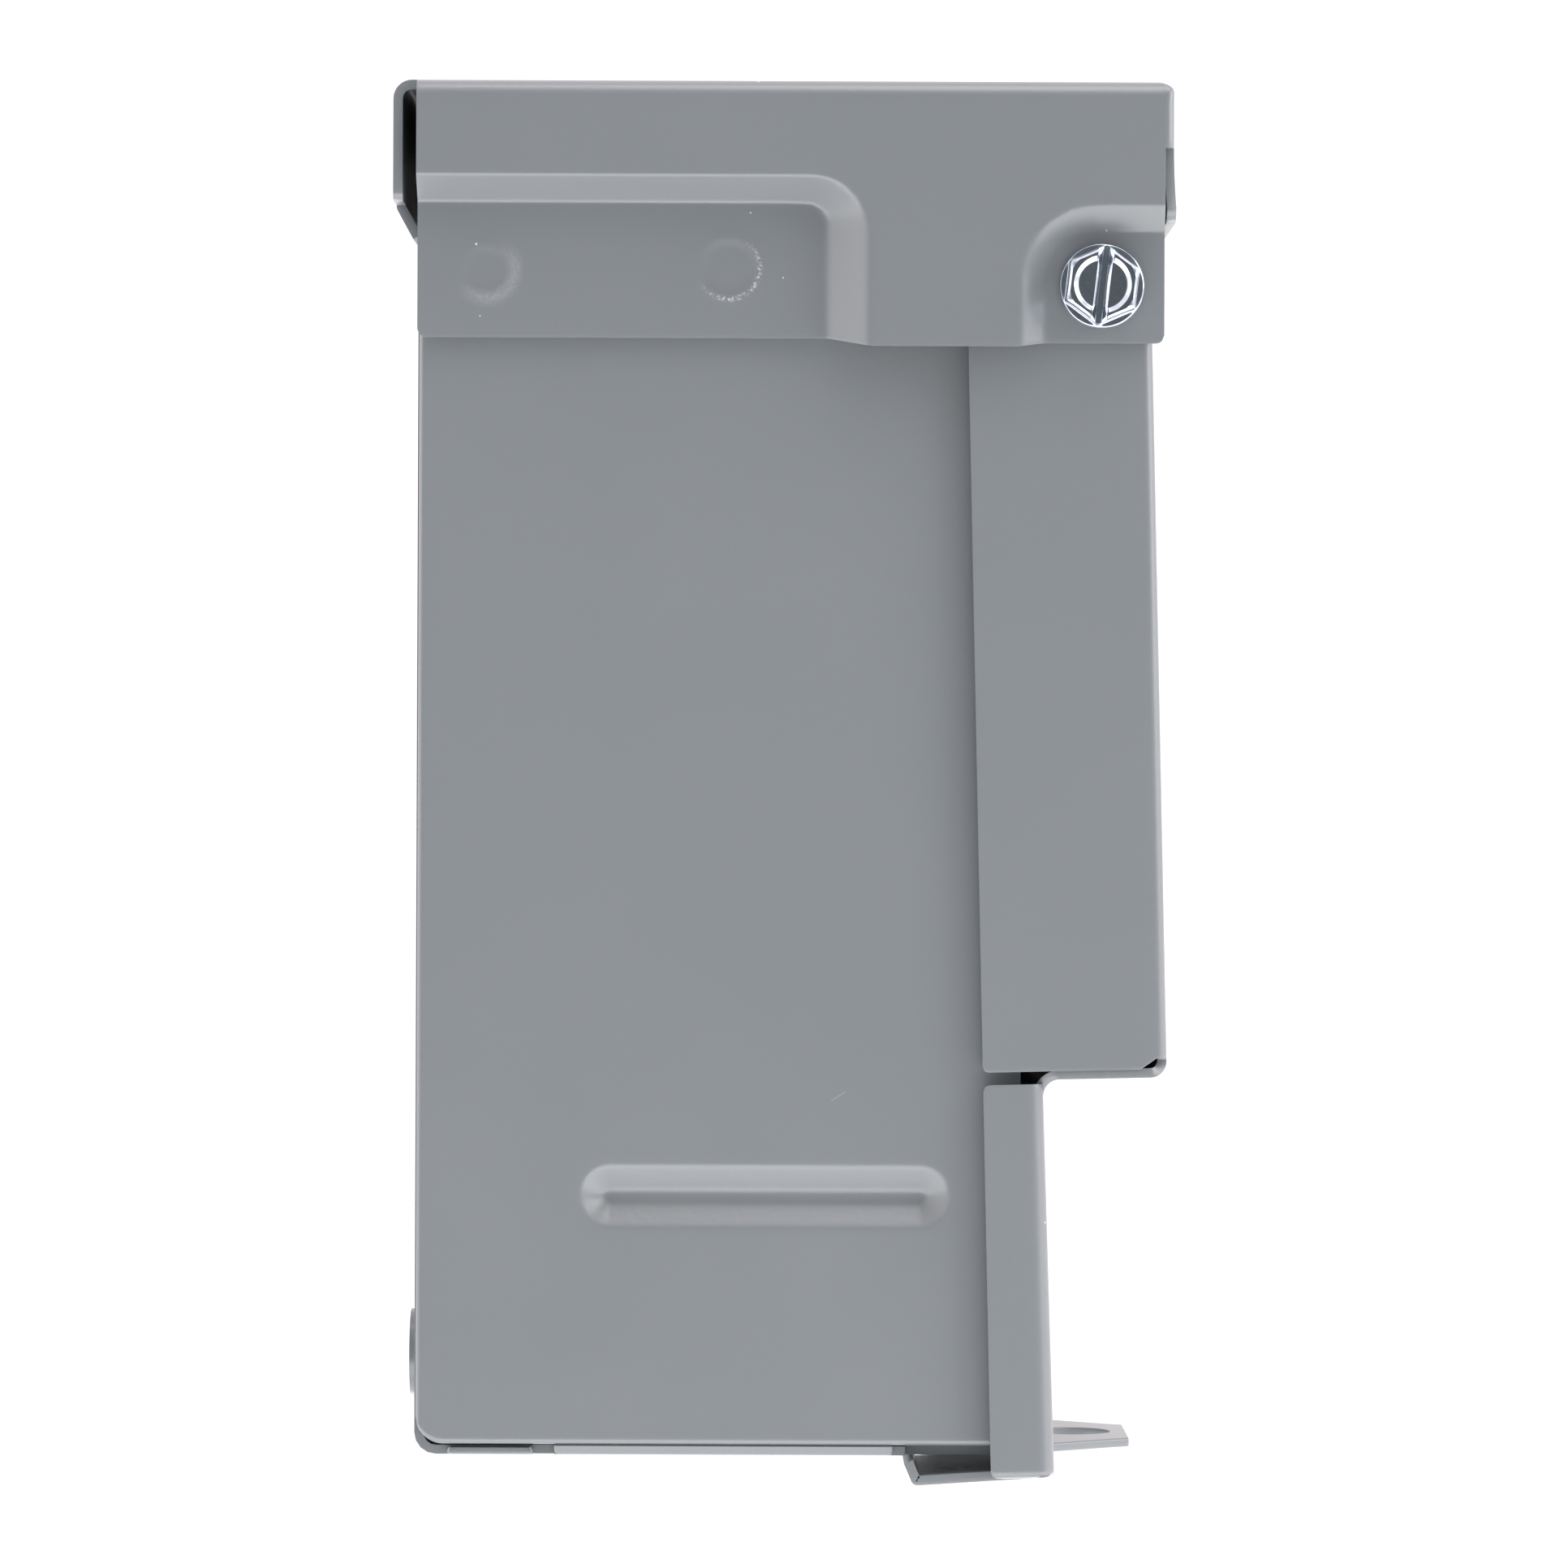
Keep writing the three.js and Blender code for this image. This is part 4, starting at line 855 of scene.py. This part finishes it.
def hinge_screw(side, sign):
    """A slotted hex washer head: rings from the round washer to the hexagon and into a sunk round middle."""
    node_low, node_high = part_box(f"hinge_screw_{side}")
    seat = (node_high.x if sign > 0 else -node_low.x) / MM - HEAD_HEIGHT
    angle = np.linspace(0, 2 * math.pi, 145)[:-1]
    hexagon = hex_radius(angle, HEX_FLATS)
    washer = np.full_like(angle, WASHER_RADIUS)
    rings = [
        (0.02 * washer, 0), (washer - 0.3, 0), (washer, 0.25), (washer, 0.75), (washer - 0.2, 0.98),
        (np.minimum(hexagon + 0.15, washer - 0.3), 1.05), (hexagon, 1.2), (hexagon, 3.7),
        (np.minimum(hexagon - 0.1, 5.3), 4.0), (np.minimum(hexagon - 0.45, 4.6), 4.3),
        (0 * washer + 3.95, 4.24), (0 * washer + 3.6, 3.95), (0 * washer + 3.4, 3.75),
        (0 * washer + 3.25, 3.7), (0.02 * washer, 3.68),
    ]
    lean = math.pi / 2 + sign * math.radians(SLOT_LEAN)
    radius = np.array([r for r, _ in rings])
    height = np.array([h for _, h in rings])[:, None] + 0 * radius
    angle = np.append(angle, angle[0])
    radius = np.concatenate([radius, radius[:, :1]], 1)
    height = np.concatenate([height, height[:, :1]], 1)
    out = PIVOT_OUT + radius * np.cos(angle + lean)
    up = PIVOT_UP + radius * np.sin(angle + lean)
    points = at(sign * (seat + height), out, up)
    piece = mesh_of(f"hinge_screw_{side}_head", points, quads(*points.shape[:2]))
    bm = bmesh.new()
    bm.from_mesh(piece.data)
    bmesh.ops.remove_doubles(bm, verts=bm.verts, dist=1e-6)
    bmesh.ops.holes_fill(bm, edges=bm.edges, sides=0)
    bmesh.ops.recalc_face_normals(bm, faces=bm.faces)
    bm.to_mesh(piece.data)
    bm.free()

    profile = np.array(SLOT_PROFILE + [(-a, h) for a, h in SLOT_PROFILE[::-1]])
    spin = lean - math.pi / 2
    reach = np.array([-SLOT_REACH, SLOT_REACH])[:, None]
    across, height = profile[None, :, 0], profile[None, :, 1]
    box = at(sign * (seat + height + 0 * reach),
             PIVOT_OUT + across * math.cos(spin) - reach * math.sin(spin),
             PIVOT_UP + across * math.sin(spin) + reach * math.cos(spin))
    n = len(profile)
    ends = [np.arange(n), np.arange(n)[::-1] + n]
    walls = [np.array([i, (i + 1) % n, (i + 1) % n + n, i + n]) for i in range(n)]
    cutter = mesh_of("slot_cutter", box, ends + walls)
    bm = bmesh.new()
    bm.from_mesh(cutter.data)
    bmesh.ops.recalc_face_normals(bm, faces=bm.faces)
    bm.to_mesh(cutter.data)
    bm.free()
    cut = piece.modifiers.new("slot", "BOOLEAN")
    cut.object = cutter
    cut.solver = "EXACT"
    apply_modifiers(piece)
    bpy.data.objects.remove(cutter)
    soften(piece, 0.09, 2, 28)
    zinc = "zinc_plated_steel"
    finished(piece, "enclosure", FINISHES[zinc], [f"hinge_screw_{side}"])


# ------------------------------------------------------------------ everything else keeps its CAD shape

EDGES = {
    "back_and_bottom": 0.12, "padlock_hasp": 0.3, "switch_bracket": 0.2, "dead_front": 0.2,
    "switch_base": 0.5, "switch_cover": 0.5, "toggle_handle": 0.6, "ground_bar": 0.25,
    "crossbar": 0, "crossbar_pin": 0,  # left sharp: rounding them makes the pin touch its bore
}
MADE_HERE = {"rain_hood", "side_left", "side_right", "front_cover", "hinge_screw_left", "hinge_screw_right"}


def remaining_nodes():
    body_of = {n: body for body, nodes in frame["record"]["behaviour"]["bodies"].items() for n in nodes}
    slot_of = {s["node"]: s["material_slot"] for s in frame["record"]["subparts"]}
    for name in sorted(frame["nodes"]):
        if name in MADE_HERE:
            continue
        piece = softened_copy(name, EDGES.get(name, 0.15))
        finished(piece, body_of[name], FINISHES[slot_of[name]], [name])


# ------------------------------------------------------------------ stage: floor, light and camera

FLOOR_DROP = 0.3
FLOOR_HALF = (0.75, 2.0)
FLOOR_GLOW = 2.1
FLOOR_SHADE = 0.15  # painted shadow: the share of the glow kept straight under the box
FLOOR_SHADE_REACH = (0.1, 0.3)  # where the painted shadow starts and ends, sideways
ROOM_DIM = 0.16  # straight out from the box's left side
ROOM_BRIGHT = 1.5  # all round it, above, in front, below and behind
ROOM_FAR = 1.3  # straight out from its right side
COOL, WARM = (0.93, 1.0, 1.03), (1.0, 0.93, 0.96)  # the dim light and the bright light
BACKDROP = 1.2  # what the camera itself sees behind the box
SOFTBOXES = (  # name, place from the box's middle, width in metres, watts
    ("front softbox", (-0.35, -1.25, 0.5), 0.9, 8),
    ("wall side softbox", (-0.1, 1.35, 0.3), 0.9, 2),
    ("top softbox", (-0.35, -0.3, 1.4), 0.9, 7),
)


def stage():
    """A wide pale floor below the box, its glow darkened by a painted shadow straight under the box, soft boxes
    round it and a white room.
    """
    plan = np.meshgrid(*(np.linspace(-half, half, 3) for half in FLOOR_HALF), indexing="ij")
    points = np.stack([*plan, np.full((3, 3), GROUND_Z - FLOOR_DROP)], -1)
    floor = mesh_of("floor", points, quads(3, 3))
    floor.data.flip_normals()
    material, tree, shader = surface("pale floor")
    tree.links.new(varied(tree, 0.5, 0.6, 6.0), shader.inputs["Roughness"])
    shader.inputs["Base Color"].default_value = (0.75, 0.75, 0.75, 1)
    place = node(tree, "ShaderNodeTexCoord").outputs["Object"]
    across = node(tree, "ShaderNodeSeparateXYZ", [("Vector", place)]).outputs["X"]
    sideways = maths(tree, "ABSOLUTE", across)
    start, end = FLOOR_SHADE_REACH
    clear = node(tree, "ShaderNodeMapRange", [("Value", sideways), ("From Min", start), ("From Max", end)],
                 interpolation_type="SMOOTHSTEP").outputs["Result"]
    # painted shadow: the floor glows less straight under the box
    glow = mixed(tree, clear, (FLOOR_SHADE,) * 3, (1, 1, 1))
    tree.links.new(glow, shader.inputs["Emission Color"])
    shader.inputs["Emission Strength"].default_value = FLOOR_GLOW
    floor.data.materials.append(material)

    middle = Vector((0, BACK_Y - 0.05, GROUND_Z + HEIGHT * MM / 2))
    for name, place, width, power in SOFTBOXES:
        light = bpy.data.lights.new(name, "AREA")
        light.shape = "SQUARE"
        light.size = width
        light.energy = power
        lamp = bpy.data.objects.new(name, light)
        lamp.location = middle + Vector(place)
        lamp.rotation_euler = (middle - lamp.location).to_track_quat("-Z", "Y").to_euler()
        lamp.visible_camera = False
        bpy.context.scene.collection.objects.link(lamp)

    world = bpy.data.worlds.new("white room")
    bpy.context.scene.world = world
    world.use_nodes = True
    tree = world.node_tree
    background = tree.nodes["Background"]
    seen = tree.nodes.new("ShaderNodeLightPath").outputs["Is Camera Ray"]
    direction = node(tree, "ShaderNodeTexCoord").outputs["Generated"]
    sideways = node(tree, "ShaderNodeSeparateXYZ", [("Vector", direction)]).outputs["X"]
    lit = node(tree, "ShaderNodeMapRange", [("Value", sideways), ("From Min", -0.93), ("From Max", -0.35)],
               interpolation_type="SMOOTHSTEP").outputs["Result"]
    tree.links.new(mixed(tree, lit, COOL, WARM), background.inputs["Color"])
    far = node(tree, "ShaderNodeMapRange", [("Value", sideways), ("From Min", 0.1), ("From Max", 1.0),
                                            ("To Min", ROOM_BRIGHT), ("To Max", ROOM_FAR)]).outputs["Result"]
    room = maths(tree, "MULTIPLY_ADD", lit, maths(tree, "SUBTRACT", far, ROOM_DIM), ROOM_DIM)
    unseen = maths(tree, "MULTIPLY", maths(tree, "SUBTRACT", 1.0, seen), room)
    strength = maths(tree, "ADD", unseen, maths(tree, "MULTIPLY", seen, BACKDROP))
    tree.links.new(strength, background.inputs["Strength"])
    bpy.context.scene.view_settings.view_transform = "Standard"


CAMERA_DISTANCE = 1.0  # metres from the hood's left side
CAMERA_AIM = (50.8, 92.8)  # out and up
CAMERA_ROLL = 0.22  # degrees
FRAME_WIDTH, FOCAL_LENGTH = 1932, 8981  # both in the same unit; only their ratio counts


def camera():
    aim_out, aim_up = CAMERA_AIM
    data = bpy.data.cameras.new("camera")
    data.lens = 36 / 2 / (0.5 * FRAME_WIDTH / FOCAL_LENGTH)
    data.clip_start = 0.01
    made = bpy.data.objects.new("camera", data)
    made.location = (-HOOD_HALF * MM - CAMERA_DISTANCE, BACK_Y - aim_out * MM, GROUND_Z + aim_up * MM)
    look = Vector((1, 0, 0)).to_track_quat("-Z", "Y").to_matrix().to_4x4()
    made.rotation_euler = (look @ Matrix.Rotation(math.radians(CAMERA_ROLL), 4, "Z")).to_euler()
    bpy.context.scene.collection.objects.link(made)
    bpy.context.scene.camera = made


stage()
camera()
rain_hood()
for side_name, side_sign in SIDES:
    body_side(side_name, side_sign)
    bottom_bend(side_name, side_sign)
    hinge_screw(side_name, side_sign)
front_cover()
remaining_nodes()
